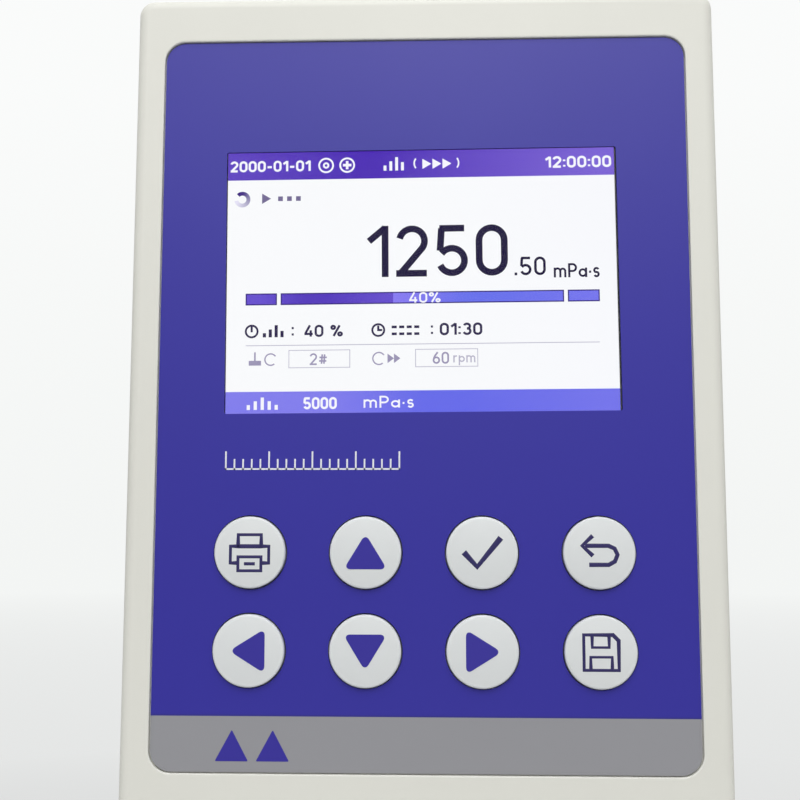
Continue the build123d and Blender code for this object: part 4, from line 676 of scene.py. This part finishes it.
# The progress bar is in three lengths with dark outlines; the middle one is part filled.
BAR_LOW, BAR_HIGH, BAR_LINE = -4.50, -2.25, 0.22
BARS = ((-33.0, -27.1), (-26.4, 26.5), (27.2, 33.1))
BAR_FILLED_TO = -5.3
bar_lines = bmesh.new()
for left, right in BARS:
    frame_bar(bar_lines, left, BAR_LOW, right, BAR_HIGH, BAR_LINE)
show("screen_bar_lines", bar_lines, lit("lit_bar_line", LINE_INK))
for name, finish, lengths in (
        ("screen_bar_done", lit("lit_bar_done", done_shade), (BARS[0], (BARS[1][0], BAR_FILLED_TO))),
        ("screen_bar_left", lit("lit_bar_left", left_shade), ((BAR_FILLED_TO, BARS[1][1]), BARS[2]))):
    filling = bmesh.new()
    for left, right in lengths:
        bar(filling, left, BAR_LOW, right, BAR_HIGH, FILL_LAYER)
    show(name, filling, finish)

# First line of particulars, dark: a dial stands for the share of full scale and a clock for time.
DIAL_X, CLOCK_X, DIAL_Y, HAND = -31.8, -8.1, -9.45, 0.2
first_line = bmesh.new()
signs_in(first_line, "40 %", -21.9, -10.55, -14.8, -8.4, 0.20)
signs_in(first_line, "01:30", 3.4, -10.5, 11.2, -8.3, 0.205)
for x in (DIAL_X, CLOCK_X):
    hoop(first_line, x, DIAL_Y, outer=1.30, inner=0.92, layer=SIGN_LAYER, steps=24)
bar(first_line, DIAL_X - HAND, -9.6, DIAL_X + HAND, -8.5, SIGN_LAYER)
bar(first_line, CLOCK_X - HAND, -9.65, CLOCK_X + HAND, -8.6, SIGN_LAYER)
bar(first_line, CLOCK_X - HAND, -9.65, CLOCK_X + 0.75, -9.65 + 2 * HAND, SIGN_LAYER)
level_graph(first_line, -29.7, -10.6, pitch=1.1, width=0.6, heights=(0.8, 1.5, 2.3, 1.2))
blocks(first_line, (-5.6, -4.2, -2.8, -1.4), (-10.45, -9.15), width=0.95, height=0.5)
blocks(first_line, (-24.3, 1.7), (-10.3, -9.1), width=0.4, height=0.4)
show("screen_first_line", first_line, lit("lit_dark", DARK_PRINT))

# Second line, pale: the spindle in use and its speed, each number in its own box.
SECOND_BASE, SECOND_MID, BOX_LINE = -15.9, -14.8, 0.13
second_line = bmesh.new()
bar(second_line, -32.9, -12.22, 32.9, -12.08, SIGN_LAYER)
frame_bar(second_line, -24.85, -16.45, -13.35, -13.05, BOX_LINE)
frame_bar(second_line, -1.25, -16.5, 10.4, -13.1, BOX_LINE)
signs_in(second_line, "rpm", 5.8, -15.7, 9.9, -13.8, 0.13)
show("screen_second_line", second_line, lit("lit_pale_line", PALE_LINE))
second_marks = bmesh.new()
signs_in(second_marks, "2#", -20.9, SECOND_BASE, -17.7, -13.7, 0.14)
signs_in(second_marks, "60", 2.0, SECOND_BASE, 5.0, -13.7, 0.15)
bar(second_marks, -31.3, -15.0, -31.0, -13.4, SIGN_LAYER)
bar(second_marks, -32.3, SECOND_BASE, -30.0, -15.0, SIGN_LAYER)
for x, outer in ((-28.2, 1.2), (-8.0, 1.25)):
    hoop(second_marks, x, SECOND_MID, outer, outer - 0.25, SIGN_LAYER, start=0.6, sweep=4.8, steps=24)
for x in (-5.8, -4.6):
    wedge(second_marks, x, SECOND_MID, 1.2, 1.8, POINTS_RIGHT, 0.08, SIGN_LAYER)
show("screen_second_marks", second_marks, lit("lit_pale", PALE_PRINT))

# A ring that fades round its turn shows that a test is running, with three dots beside it.
BUSY_X, BUSY_Y = -33.8, 15.9


def fading(tree, across, rise):
    aside = {"X": maths(tree, "SUBTRACT", across, BUSY_X), "Y": maths(tree, "SUBTRACT", rise, BUSY_Y)}
    aside = put(tree, "CombineXYZ", aside).outputs[0]
    turn = put(tree, "TexGradient", {0: aside}, gradient_type="RADIAL").outputs[1]
    return blend_colour(tree, ramp(tree, turn, 0.08, 0.72), RING_PALE, RING_DEEP)


busy = bmesh.new()
hoop(busy, BUSY_X, BUSY_Y, outer=1.52, inner=0.78, layer=SIGN_LAYER, start=-2.95, sweep=5.3)
show("screen_busy_ring", busy, lit("lit_ring", fading))
state = bmesh.new()
wedge(state, -29.2, 16.0, 1.7, 2.0, POINTS_RIGHT, 0.08, SIGN_LAYER)
blocks(state, (-27.0, -25.3, -23.6), (15.5,), width=0.9, height=0.9)
show("screen_state", state, lit("lit_state", STATE_PRINT))

# The window is a hard-coated clear pane, let into the film over the module's glass.
PANE_DIM, PANE_CLEAR = (0.985, 0.985, 0.99), (1.0, 1.0, 1.0)
window, tree, shader = new_finish("clear_window")
grain = use(tree, skin_grain, Scale=500.0)
feed(tree, shader, {"Base Color": blend_colour(tree, grain["Cloud"], PANE_DIM, PANE_CLEAR),
                    "Roughness": ramp(tree, grain["Cloud"], 0, 1, 0.02, 0.05),
                    "Transmission Weight": 1.0, "IOR": 1.16})
dress(window, "clear_window", "display_lens")


# ---- Keys ----
# Eight domed caps moulded in pale satin plastic stand through round holes in the film. Arrows are
# printed on four of them, and plain signs on the others: a printer, a tick, a way back, a disk.

KEY_WHITE, KEY_RUBBED = (0.745, 0.768, 0.765), (0.86, 0.88, 0.90)
INK_NAVY = (0.022, 0.016, 0.105)
KEY_PITCH_X, KEY_PITCH_Z, KEY_TOP_Z, KEYS_ACROSS = 21.1, 17.6, 253.0, 4
KEY_DOME = 13.0  # how fast the dome falls away, in metres for each square metre
KEY_FACE_Y, IN_FRONT_Y = -0.1054, -0.2
KEY_INK = (-0.05, 0.05)
SIGN_LINE, DETAIL_LINE, PAPER_LINE, TICK_LINE, BACK_LINE = 0.78, 0.66, 0.6, 1.1, 0.8
ARROW_REACH, ARROW_WIDTH, ARROW_CORNER, ARROW_SET = 6.4, 7.9, 1.25, 0.21
LONGEST_EDGE = 0.0009


def key_dome(tree):
    """The moulding's own dome, over the pitch that the caps repeat at."""
    spot = parts(tree, spot_of(tree))
    squares = []
    for axis, pitch, start in (("X", KEY_PITCH_X, 0.0), ("Z", KEY_PITCH_Z, KEY_TOP_Z - KEY_PITCH_Z / 2)):
        span = {0: spot[axis], 1: (start + pitch) / 1000, 2: start / 1000}
        wrapped = put(tree, "Math", span, operation="WRAP").outputs[0]
        offset = maths(tree, "SUBTRACT", wrapped, (start + pitch / 2) / 1000)
        squares.append(maths(tree, "MULTIPLY", offset, offset))
    return maths(tree, "MULTIPLY", maths(tree, "ADD", *squares), -KEY_DOME)


key_cap = skinned("key_cap", KEY_WHITE, rough=0.38, scale=2200.0, depth=1.0e-5, rub_and_highlight=KEY_RUBBED, shade=0.975,
                  form=key_dome)
arrow_ink = skinned("arrow_ink", INK_BLUE, rough=0.42, scale=2200.0, depth=6.0e-6, shade=0.96)
sign_ink = skinned("sign_ink", INK_NAVY, rough=0.42, scale=2200.0, depth=6.0e-6, shade=0.96)


def sign_line(bm, width, *points, closed=False):
    drawn_line(bm, points, width, closed, KEY_INK)


def draw_printer(bm):
    for side in (-1, 1):
        sign_line(bm, SIGN_LINE, (side * 1.9, 1.1), (side * 3.5, 1.1), (side * 3.5, -1.9), (side * 2.2, -1.9))
    sign_line(bm, SIGN_LINE, (-2.1, 0.9), (-2.1, 3.2), (2.1, 3.2), (2.1, 0.9))
    sign_line(bm, SIGN_LINE, (-2.1, 1.1), (2.1, 1.1))
    sign_line(bm, SIGN_LINE, (-2.1, -0.8), (2.1, -0.8), (2.1, -3.3), (-2.1, -3.3), closed=True)
    sign_line(bm, PAPER_LINE, (-1.0, -2.05), (1.0, -2.05))


def draw_tick(bm):
    sign_line(bm, TICK_LINE, (-3.3, 0.1), (-0.9, -2.5), (3.4, 2.7))


def draw_way_back(bm):
    sign_line(bm, BACK_LINE, (-2.6, 1.3), (1.6, 1.3), (2.7, 0.8), (3.2, -0.3), (2.7, -1.5), (1.6, -2.1),
              (-1.9, -2.1))
    sign_line(bm, BACK_LINE, (-1.2, 3.1), (-3.1, 1.3), (-1.2, -0.5))


def draw_disk(bm):
    sign_line(bm, SIGN_LINE, (-3.1, 3.1), (2.1, 3.1), (3.1, 2.1), (3.1, -3.1), (-3.1, -3.1), closed=True)
    sign_line(bm, DETAIL_LINE, (-1.6, 3.0), (-1.6, 0.9), (1.4, 0.9), (1.4, 3.0))
    sign_line(bm, DETAIL_LINE, (-1.9, -3.0), (-1.9, -0.8), (1.9, -0.8), (1.9, -3.0))


def draw_arrow(bm, turn):
    """An arrow head that points up before it is turned, set a little towards its tip."""
    x, y = -ARROW_SET * math.sin(turn), ARROW_SET * math.cos(turn)
    wedge(bm, x, y, ARROW_REACH, ARROW_WIDTH, turn, ARROW_CORNER, KEY_INK)


def lay_on(bm, cap):
    """Cuts a sign up finely and lets every point down on to the cap's dome."""
    bmesh.ops.triangulate(bm, faces=bm.faces)
    for _ in range(4):
        long = [e for e in bm.edges if e.calc_length() > LONGEST_EDGE]
        if long:
            bmesh.ops.subdivide_edges(bm, edges=long, cuts=1)
            bmesh.ops.triangulate(bm, faces=[f for f in bm.faces if len(f.verts) > 3])
    for v in bm.verts:
        hit, place, _, _ = cap.ray_cast(Vector((v.co.x, IN_FRONT_Y, v.co.z)), Vector((0, 1, 0)))
        v.co.y += place.y if hit else KEY_FACE_Y


KEY_SIGNS = (("print", sign_ink, draw_printer), ("up", arrow_ink, draw_arrow, 0.0),
             ("ok", sign_ink, draw_tick), ("back", sign_ink, draw_way_back),
             ("left", arrow_ink, draw_arrow, math.pi / 2), ("down", arrow_ink, draw_arrow, math.pi),
             ("right", arrow_ink, draw_arrow, -math.pi / 2), ("save", sign_ink, draw_disk))
for i, (name, ink, draw, *turn) in enumerate(KEY_SIGNS):
    dress(key_cap, "key_plastic", "key_" + name)
    sign = bmesh.new()
    draw(sign, *turn)
    row, place = divmod(i, KEYS_ACROSS)
    x = (place - (KEYS_ACROSS - 1) / 2) * KEY_PITCH_X
    z = KEY_TOP_Z - row * KEY_PITCH_Z
    sign.transform(Matrix.Translation((x / 1000, 0, z / 1000)) @ UPRIGHT @ MM)
    lay_on(sign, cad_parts["key_" + name])
    make_piece("key_sign_" + name, sign, Matrix.Identity(4), ink, "press_" + name)


# ---- Inside the head ----
# Two circuit boards stand behind the panel. Milled aluminium plates on turned pillars carry the
# stepper motor, the two slotted discs with their hairspring, and the rotor's pivot.

SPINDLE_AT = (0.0, -0.058, 0.0)
MASK_DEEP, MASK_PALE, TRACK_GREEN = (0.012, 0.10, 0.045), (0.016, 0.13, 0.055), (0.03, 0.20, 0.09)
MILLED, STEEL = (0.72, 0.73, 0.74), (0.70, 0.71, 0.71)
SPRING_BRONZE = (0.70, 0.50, 0.26)
MOTOR_BLACK, SENSOR_BLACK = (0.035, 0.035, 0.038), (0.03, 0.03, 0.034)

board, tree, shader = new_finish("solder_mask")
tracks = put(tree, "TexBrick", {"Vector": on_axis(tree, (0, 0, 0), "Y"), "Scale": 140.0, "Mortar Size": 0.03,
                                "Color1": (1, 1, 1, 1), "Color2": (0.8, 0.8, 0.8, 1),
                                "Mortar": (0, 0, 0, 1)}).outputs["Fac"]
grain = use(tree, skin_grain, Scale=900.0)
mask = blend_colour(tree, grain["Cloud"], MASK_DEEP, MASK_PALE)
feed(tree, shader, {"Base Color": blend_colour(tree, tracks, mask, TRACK_GREEN),
                    "Roughness": ramp(tree, grain["Cloud"], 0, 1, 0.30, 0.38),
                    "Normal": relief(tree, tracks, 0.4, 2.0e-5)})
dress(board, "circuit_board", "key_board", "main_board")

dress(machined("milled_plate", MILLED, (0.3, 0, 0), "Z", rough=0.32, scale=1200.0, depth=1.0e-5),
      "milled_aluminium", "lower_plate", "motor_bracket", "plate_pillars")
dress(machined("slotted_disc", MILLED, SPINDLE_AT, "Z", rough=0.28, scale=3000.0, depth=6.0e-6),
      "milled_aluminium", "drive_disc", "sensing_disc")
dress(skinned("motor_lacquer", MOTOR_BLACK, rough=0.35, scale=1500.0, depth=1.5e-5),
      "motor_steel", "stepper_motor")
dress(machined("ground_shaft", GROUND, SPINDLE_AT, "Z", rough=0.2, scale=5000.0, depth=4.0e-6),
      "ground_steel", "motor_shaft", "pivot_shaft")
dress(machined("pivot_bronze", BRONZE, SPINDLE_AT, "Z", rough=0.28, scale=3500.0, depth=6.0e-6),
      "bush_bronze", "pivot_bush")
dress(machined("spring_strip", SPRING_BRONZE, SPINDLE_AT, "Z", rough=0.22, scale=6000.0, depth=3.0e-6),
      "spring_bronze", "hairspring")
dress(skinned("sensor_black", SENSOR_BLACK, rough=0.5, scale=1500.0, depth=2.0e-5),
      "sensor_plastic", "optical_sensors")


# ---- Neck, guard and spindle ----
# A turned and clear anodised collar closes the head's underside. A bent strip of polished
# stainless steel guards the spindle, held by two cheese-head screws, and the spindle itself is a
# thin stem with a disc, screwed into the rotor's coupling.

ANODISED = (0.74, 0.74, 0.75)
GUARD_SCREWS_AT = (0, -0.058, 0.189)

dress(machined("neck_anodised", ANODISED, SPINDLE_AT, "Z", rough=0.30, scale=3500.0, depth=6.0e-6),
      "turned_aluminium", "neck_collar")

# The guard's strip was rolled, so straight marks run along its length.
strip, tree, shader = new_finish("guard_strip")
place = on_axis(tree, (0, 0, 0), "Z")
drawn_out = put(tree, "VectorMath", {0: place, 1: (1.0, 1.0, 0.015)}, operation="MULTIPLY").outputs[0]
lines = noise(tree, drawn_out, 3500.0, 2.0)
stain = ramp(tree, noise(tree, place, 70.0, 4.0), 0.35, 0.65)
feed(tree, shader, {"Base Color": mottled(tree, stain, STEEL, 0.88), "Metallic": 1.0,
                    "Roughness": ramp(tree, lines, 0.3, 0.7, 0.20, 0.30),
                    "Normal": relief(tree, lines, 0.5, 5.0e-6)})
dress(strip, "polished_steel", "guard_bracket")

dress(machined("guard_screw_steel", STEEL, GUARD_SCREWS_AT, "X", rough=0.22, scale=3500.0, depth=6.0e-6),
      "polished_steel", "guard_screws")
dress(machined("spindle_steel", STEEL, SPINDLE_AT, "Z", rough=0.16, scale=5000.0, depth=4.0e-6),
      "polished_steel", "spindle_coupling", "spindle")


# ---- Rod and its flange screws ----
# The head hangs on a polished steel rod whose flange is screwed to the rear housing by four
# socket cap screws.

ROD_AT = (0.0, 0.0, 0.290)
FLANGE_FACE_Y = -0.005
BLACKENED = (0.10, 0.10, 0.105)
CAP_R, CAP_H, CAP_SOCKET_R, CAP_SOCKET_DEEP, CAP_CIRCLE = 2.7, 2.6, 1.35, 1.5, 14.5
BACKWARDS = Matrix.Rotation(-math.pi / 2, 4, "X")

dress(machined("rod_steel", STEEL, ROD_AT, "Y", rough=0.18, scale=4500.0, depth=5.0e-6),
      "polished_steel", "head_rod")
cap_black = machined("cap_screw_black", BLACKENED, ROD_AT, "Y", rough=0.32, scale=2500.0, depth=1.0e-5)


def turned(bm, x, y, radius, low, high, sides=28, ease=0.3, bore=0.0, deep=0.0):
    """A stub along Z, round or with a few sides, its upper edge eased and its end bored."""
    made = bmesh.ops.create_cone(bm, cap_ends=True, segments=sides, radius1=radius, radius2=radius,
                                 depth=high - low, matrix=Matrix.Translation((x, y, (low + high) / 2)))
    edges = {edge for v in made["verts"] for edge in v.link_edges}
    rim = [edge for edge in edges if all(abs(v.co.z - high) < 1e-5 for v in edge.verts)]
    bmesh.ops.bevel(bm, geom=rim, offset=ease, affect="EDGES", segments=3, profile=0.5, material=-1)
    if bore:
        end = Vector((x, y, high))
        crown = min(bm.faces, key=lambda f: (f.calc_center_median() - end).length)
        bmesh.ops.inset_region(bm, faces=[crown], thickness=radius - ease - bore)
        bmesh.ops.translate(bm, verts=list(crown.verts), vec=(0, 0, -deep))


def four_round(reach):
    """Four places on a circle, at its diagonals."""
    turns = [math.pi / 4 + i * math.pi / 2 for i in range(4)]
    return [(reach * math.cos(t), reach * math.sin(t)) for t in turns]


caps = bmesh.new()
for x, y in four_round(CAP_CIRCLE):
    turned(caps, x, y, CAP_R, 0.0, CAP_H, bore=CAP_SOCKET_R, deep=CAP_SOCKET_DEEP)
on_flange = Matrix.Translation((0, FLANGE_FACE_Y, ROD_AT[2])) @ BACKWARDS @ MM
make_piece("rod_screws", caps, on_flange, cap_black, "head")


# ---- Bubble level ----
# A turned cup let into the head's top holds a sealed vial: a clear domed glass over yellow-green
# liquid, with a black centring ring and the bubble under the dome.

LEVEL_AT, VIAL_TOP = (0.0, -0.045, 0.0), 0.3612
CUP_METAL = (0.60, 0.60, 0.61)
LIQUID_DEEP, LIQUID_PALE, AIR = (0.66, 0.86, 0.12), (0.72, 0.90, 0.18), (0.90, 0.95, 0.62)
RING_BLACK = (0.02, 0.02, 0.02)
RING_R, RING_W, RING_LAYER = 3.1, 0.3, (-0.18, -0.10)
BUBBLE_R, BUBBLE_H, BUBBLE_AT = 2.3, 0.7, (0.35, -0.2, -1.25)

dress(machined("level_cup_turned", CUP_METAL, LEVEL_AT, "Z", rough=0.38, scale=3500.0, depth=6.0e-6),
      "turned_aluminium", "level_cup")
vial, tree, shader = new_finish("level_vial")
grain = use(tree, skin_grain, Scale=400.0)
feed(tree, shader, {"Base Color": blend_colour(tree, grain["Cloud"], LIQUID_DEEP, LIQUID_PALE), "Alpha": 0.5,
                    "Roughness": ramp(tree, grain["Cloud"], 0, 1, 0.03, 0.06)})
dress(vial, "level_vial", "level_lens")

on_vial = Matrix.Translation((LEVEL_AT[0], LEVEL_AT[1], VIAL_TOP)) @ MM
ring = bmesh.new()
hoop(ring, 0, 0, RING_R, RING_R - RING_W, RING_LAYER, steps=48)
ring_ink = skinned("ring_ink", RING_BLACK, rough=0.4, scale=2000.0, depth=4.0e-6)
make_piece("level_ring", ring, on_vial, ring_ink, "head")

bubble = bmesh.new()
bmesh.ops.create_uvsphere(bubble, u_segments=32, v_segments=16, radius=BUBBLE_R)
bmesh.ops.scale(bubble, verts=bubble.verts, vec=(1.0, 1.0, BUBBLE_H / BUBBLE_R))
bmesh.ops.translate(bubble, verts=bubble.verts, vec=BUBBLE_AT)
air = skinned("bubble_air", AIR, rough=0.15, scale=700.0, depth=2.0e-6, shade=0.97)
make_piece("level_bubble", bubble, on_vial, air, "head", smooth=True)


# ---- Rear panel and its sockets ----
# A black moulded plate closes the cut-out in the rear housing. It carries the rocker switch, the
# supply inlet, a square and a nine-way data socket in nickel plated shells, and the screw-collar
# socket of the temperature probe.

PANEL_BLACK, ROCKER_BLACK = (0.030, 0.030, 0.032), (0.03, 0.03, 0.03)
NICKEL, GILT = (0.68, 0.67, 0.64), (0.80, 0.58, 0.26)
PLATE_Y, REAR_Z = -0.0088, 0.220
PROBE_X, PROBE_FLOOR, PIN_R, PIN_H, PIN_CIRCLE = 38.2, 2.0, 0.5, 2.3, 2.3

plate_black = skinned("rear_plate_black", PANEL_BLACK, rough=0.48, scale=1800.0, depth=2.5e-5, dust=0.1,
                      shade=0.85, soft=0.0003)
dress(plate_black, "black_plastic", "connector_panel", "power_switch", "dc_jack")
dress(skinned("rocker_black", ROCKER_BLACK, rough=0.30, scale=1800.0, depth=1.0e-5, shade=0.85),
      "rocker_plastic", "power_rocker")
dress(machined("socket_nickel", NICKEL, (PROBE_X / 1000, 0, REAR_Z), "Y", rough=0.24, scale=2500.0,
               depth=8.0e-6),
      "socket_shell", "data_sockets", "probe_socket")
on_plate = Matrix.Translation((0, PLATE_Y, REAR_Z)) @ BACKWARDS @ MM
gilt = machined("contact_gilt", GILT, (0, 0, REAR_Z), "Y", rough=0.25, scale=3000.0, depth=4.0e-6)
post_zinc = machined("post_zinc", ZINC, (0, 0, REAR_Z), "Y", rough=0.30, scale=2500.0, depth=8.0e-6)

# The nine-way socket's insert, its hollow contacts in rows of five and four, and its hex posts.
SERIAL_X, SERIAL_END, CONTACT_PITCH, CONTACT_ROW, CONTACT_R = 15.2, 5.8, 2.77, 1.42, 0.62
D_HALF_W, D_HALF_H, D_LEAN, D_CORNER = 7.95, 3.65, 1.4, 1.6
POST_OUT, POST_R, POST_FOOT, POST_END, POST_BORE, POST_DEEP = 12.5, 2.7, 0.9, 5.4, 1.3, 3.0
insert = bmesh.new()
tile(insert, [(SERIAL_X + x, y) for x, y in ((-D_HALF_W, D_HALF_H), (D_HALF_W, D_HALF_H),
                                             (D_HALF_W - D_LEAN, -D_HALF_H), (D_LEAN - D_HALF_W, -D_HALF_H))],
     D_CORNER, (SERIAL_END, SERIAL_END + 0.12))
make_piece("serial_insert", insert, on_plate, plate_black, "head")
contacts = bmesh.new()
for row, count in ((CONTACT_ROW, 5), (-CONTACT_ROW, 4)):
    for i in range(count):
        x = SERIAL_X + (i - (count - 1) / 2) * CONTACT_PITCH
        turned(contacts, x, row, CONTACT_R, SERIAL_END - 0.2, SERIAL_END + 0.2, sides=14, ease=0.06,
               bore=0.36, deep=0.35)
make_piece("serial_contacts", contacts, on_plate, gilt, "head")
posts = bmesh.new()
for side in (-1, 1):
    turned(posts, SERIAL_X + side * POST_OUT, 0.0, POST_R, POST_FOOT, POST_END, sides=6, bore=POST_BORE,
           deep=POST_DEEP)
make_piece("serial_posts", posts, on_plate, post_zinc, "head")

# Four contacts stand in the probe socket's well, and four screws hold the plate's corners.
PLATE_SCREW_X, PLATE_SCREW_Y, PLATE_SCREW_R = 46.0, 11.8, 1.5
probe_pins = bmesh.new()
for x, y in four_round(PIN_CIRCLE):
    turned(probe_pins, PROBE_X + x, y, PIN_R, PROBE_FLOOR - 0.1, PROBE_FLOOR + PIN_H, sides=12, ease=0.2)
make_piece("probe_contacts", probe_pins, on_plate, gilt, "head")
plate_screws = bmesh.new()
for x in (-PLATE_SCREW_X, PLATE_SCREW_X):
    for y in (-PLATE_SCREW_Y, PLATE_SCREW_Y):
        turned(plate_screws, x, y, PLATE_SCREW_R, -0.1, 0.9, sides=24, ease=0.4, bore=0.6, deep=0.6)
make_piece("plate_screws", plate_screws, on_plate, post_zinc, "head")

# The rocker carries a moulded bar and ring, filled white, for on and off.
SWITCH_X, ROCKER_LEAN, ROCKER_INK, MARK_OUT, MARK_R = -36.5, math.radians(9), (2.06, 2.16), 4.6, 1.5
on_rocker = on_plate @ Matrix.Translation((SWITCH_X, 0, 0)) @ Matrix.Rotation(ROCKER_LEAN, 4, "X")
rocker_marks = bmesh.new()
bar(rocker_marks, -0.3, MARK_OUT - MARK_R, 0.3, MARK_OUT + MARK_R, ROCKER_INK)
hoop(rocker_marks, 0, -MARK_OUT, MARK_R, 1.0, ROCKER_INK)
make_piece("rocker_marks", rocker_marks, on_rocker, ink_white, "rocker")


# ---- Floor, light and camera ----
# A pale bench top under even studio light: one large soft lamp high in front, a weaker one high
# behind, and a bright room round it.

WALL_LOW, WALL_HIGH = (0.900, 0.915, 0.905), (0.955, 0.965, 0.960)
GLOSS_LOW, GLOSS_HIGH = (0.06, 0.06, 0.06), (1.0, 1.0, 1.0)
FILL_LOW, FILL_HIGH = (0.24, 0.24, 0.24), (0.64, 0.64, 0.65)
BENCH_R, BENCH_TOP, BENCH_NEAR = 14.0, (0.74, 0.745, 0.74), (0.775, 0.785, 0.780)
EYE_AT = (0.00329, -0.31827, 0.25653)
EYE_RIGHT, EYE_AHEAD = Vector((0.9994, 0.0356, 0.0013)), Vector((-0.0355, 0.9929, 0.1133))


def rays(tree):
    """Masks of the rays that see the room or bench as it looks, and of those that mirror it."""
    path = put(tree, "LightPath").outputs
    return maths(tree, "MAXIMUM", path["Is Camera Ray"], path["Is Transmission Ray"]), path["Is Glossy Ray"]


room = bpy.data.worlds.new("room")
bpy.context.scene.world = room
room.use_nodes = True
tree = room.node_tree
aim = parts(tree, put(tree, "TexCoord").outputs["Generated"])["Z"]
seen, glossy = rays(tree)
wall = blend_colour(tree, ramp(tree, aim, 0.0, 0.35), WALL_LOW, WALL_HIGH)
gloss = blend_colour(tree, ramp(tree, aim, -0.08, 0.45), GLOSS_LOW, GLOSS_HIGH)
ambient = blend_colour(tree, ramp(tree, aim, -0.6, 0.9), FILL_LOW, FILL_HIGH)
unseen = blend_colour(tree, glossy, ambient, gloss)
feed(tree, tree.nodes["Background"], {"Color": blend_colour(tree, seen, unseen, wall), "Strength": 1.0})

# Far out the bench gives its own light, so that it runs into the room without an edge.
top, tree, shader = new_finish("bench_top")
feed(tree, shader, {"Base Color": (*BENCH_TOP, 1.0), "Roughness": 0.85, "Specular IOR Level": 0.2})
far = put(tree, "VectorMath", {0: spot_of(tree)}, operation="LENGTH").outputs["Value"]
seen, glossy = rays(tree)
haze = blend_colour(tree, ramp(tree, far, 0.9, 5.0), BENCH_NEAR, WALL_LOW)
behind = ramp(tree, parts(tree, spot_of(tree))["Y"], -0.6, 1.2, 0.10, 0.62)
haze = blend_colour(tree, seen, ramp(tree, glossy, 0.0, 1.0, 0.16, behind), haze)
glow = put(tree, "Emission", {"Color": haze}).outputs[0]
away = ramp(tree, far, 0.45, 1.15)
both = put(tree, "MixShader", {0: away, 1: shader.outputs[0], 2: glow}).outputs[0]
feed(tree, tree.nodes["Material Output"], {"Surface": both})

bench = bmesh.new()
bmesh.ops.create_circle(bench, cap_ends=True, segments=96, radius=BENCH_R)
mesh = bpy.data.meshes.new("bench")
bench.to_mesh(mesh)
bench.free()
mesh.materials.append(top)
floor = bpy.data.objects.new("bench", mesh)
bpy.context.scene.collection.objects.link(floor)


def lamp(name, place, target, size, power):
    light = bpy.data.lights.new(name, "AREA")
    light.shape = "DISK"
    light.size = size
    light.energy = power
    holder = bpy.data.objects.new(name, light)
    holder.location = place
    holder.rotation_mode = "QUATERNION"
    holder.rotation_quaternion = (Vector(target) - Vector(place)).to_track_quat("-Z", "Y")
    bpy.context.scene.collection.objects.link(holder)


lamp("front_high", place=(0.02, -0.80, 1.05), target=(0, -0.10, 0.28), size=0.9, power=7.8)
lamp("rear_high", place=(0.5, 1.3, 1.4), target=(0, 0, 0.2), size=1.2, power=9.0)

eye = bpy.data.cameras.new("eye")
eye.lens = 52.50
eye.sensor_width = 36.0
eye.clip_start = 0.01
camera = bpy.data.objects.new("eye", eye)
ahead = EYE_AHEAD.normalized()
upward = EYE_RIGHT.normalized().cross(ahead).normalized()
aimed = Matrix((ahead.cross(upward), upward, -ahead)).transposed().to_4x4()
camera.matrix_world = Matrix.Translation(EYE_AT) @ aimed
bpy.context.scene.collection.objects.link(camera)
bpy.context.scene.camera = camera
bpy.context.scene.view_settings.view_transform = "Standard"
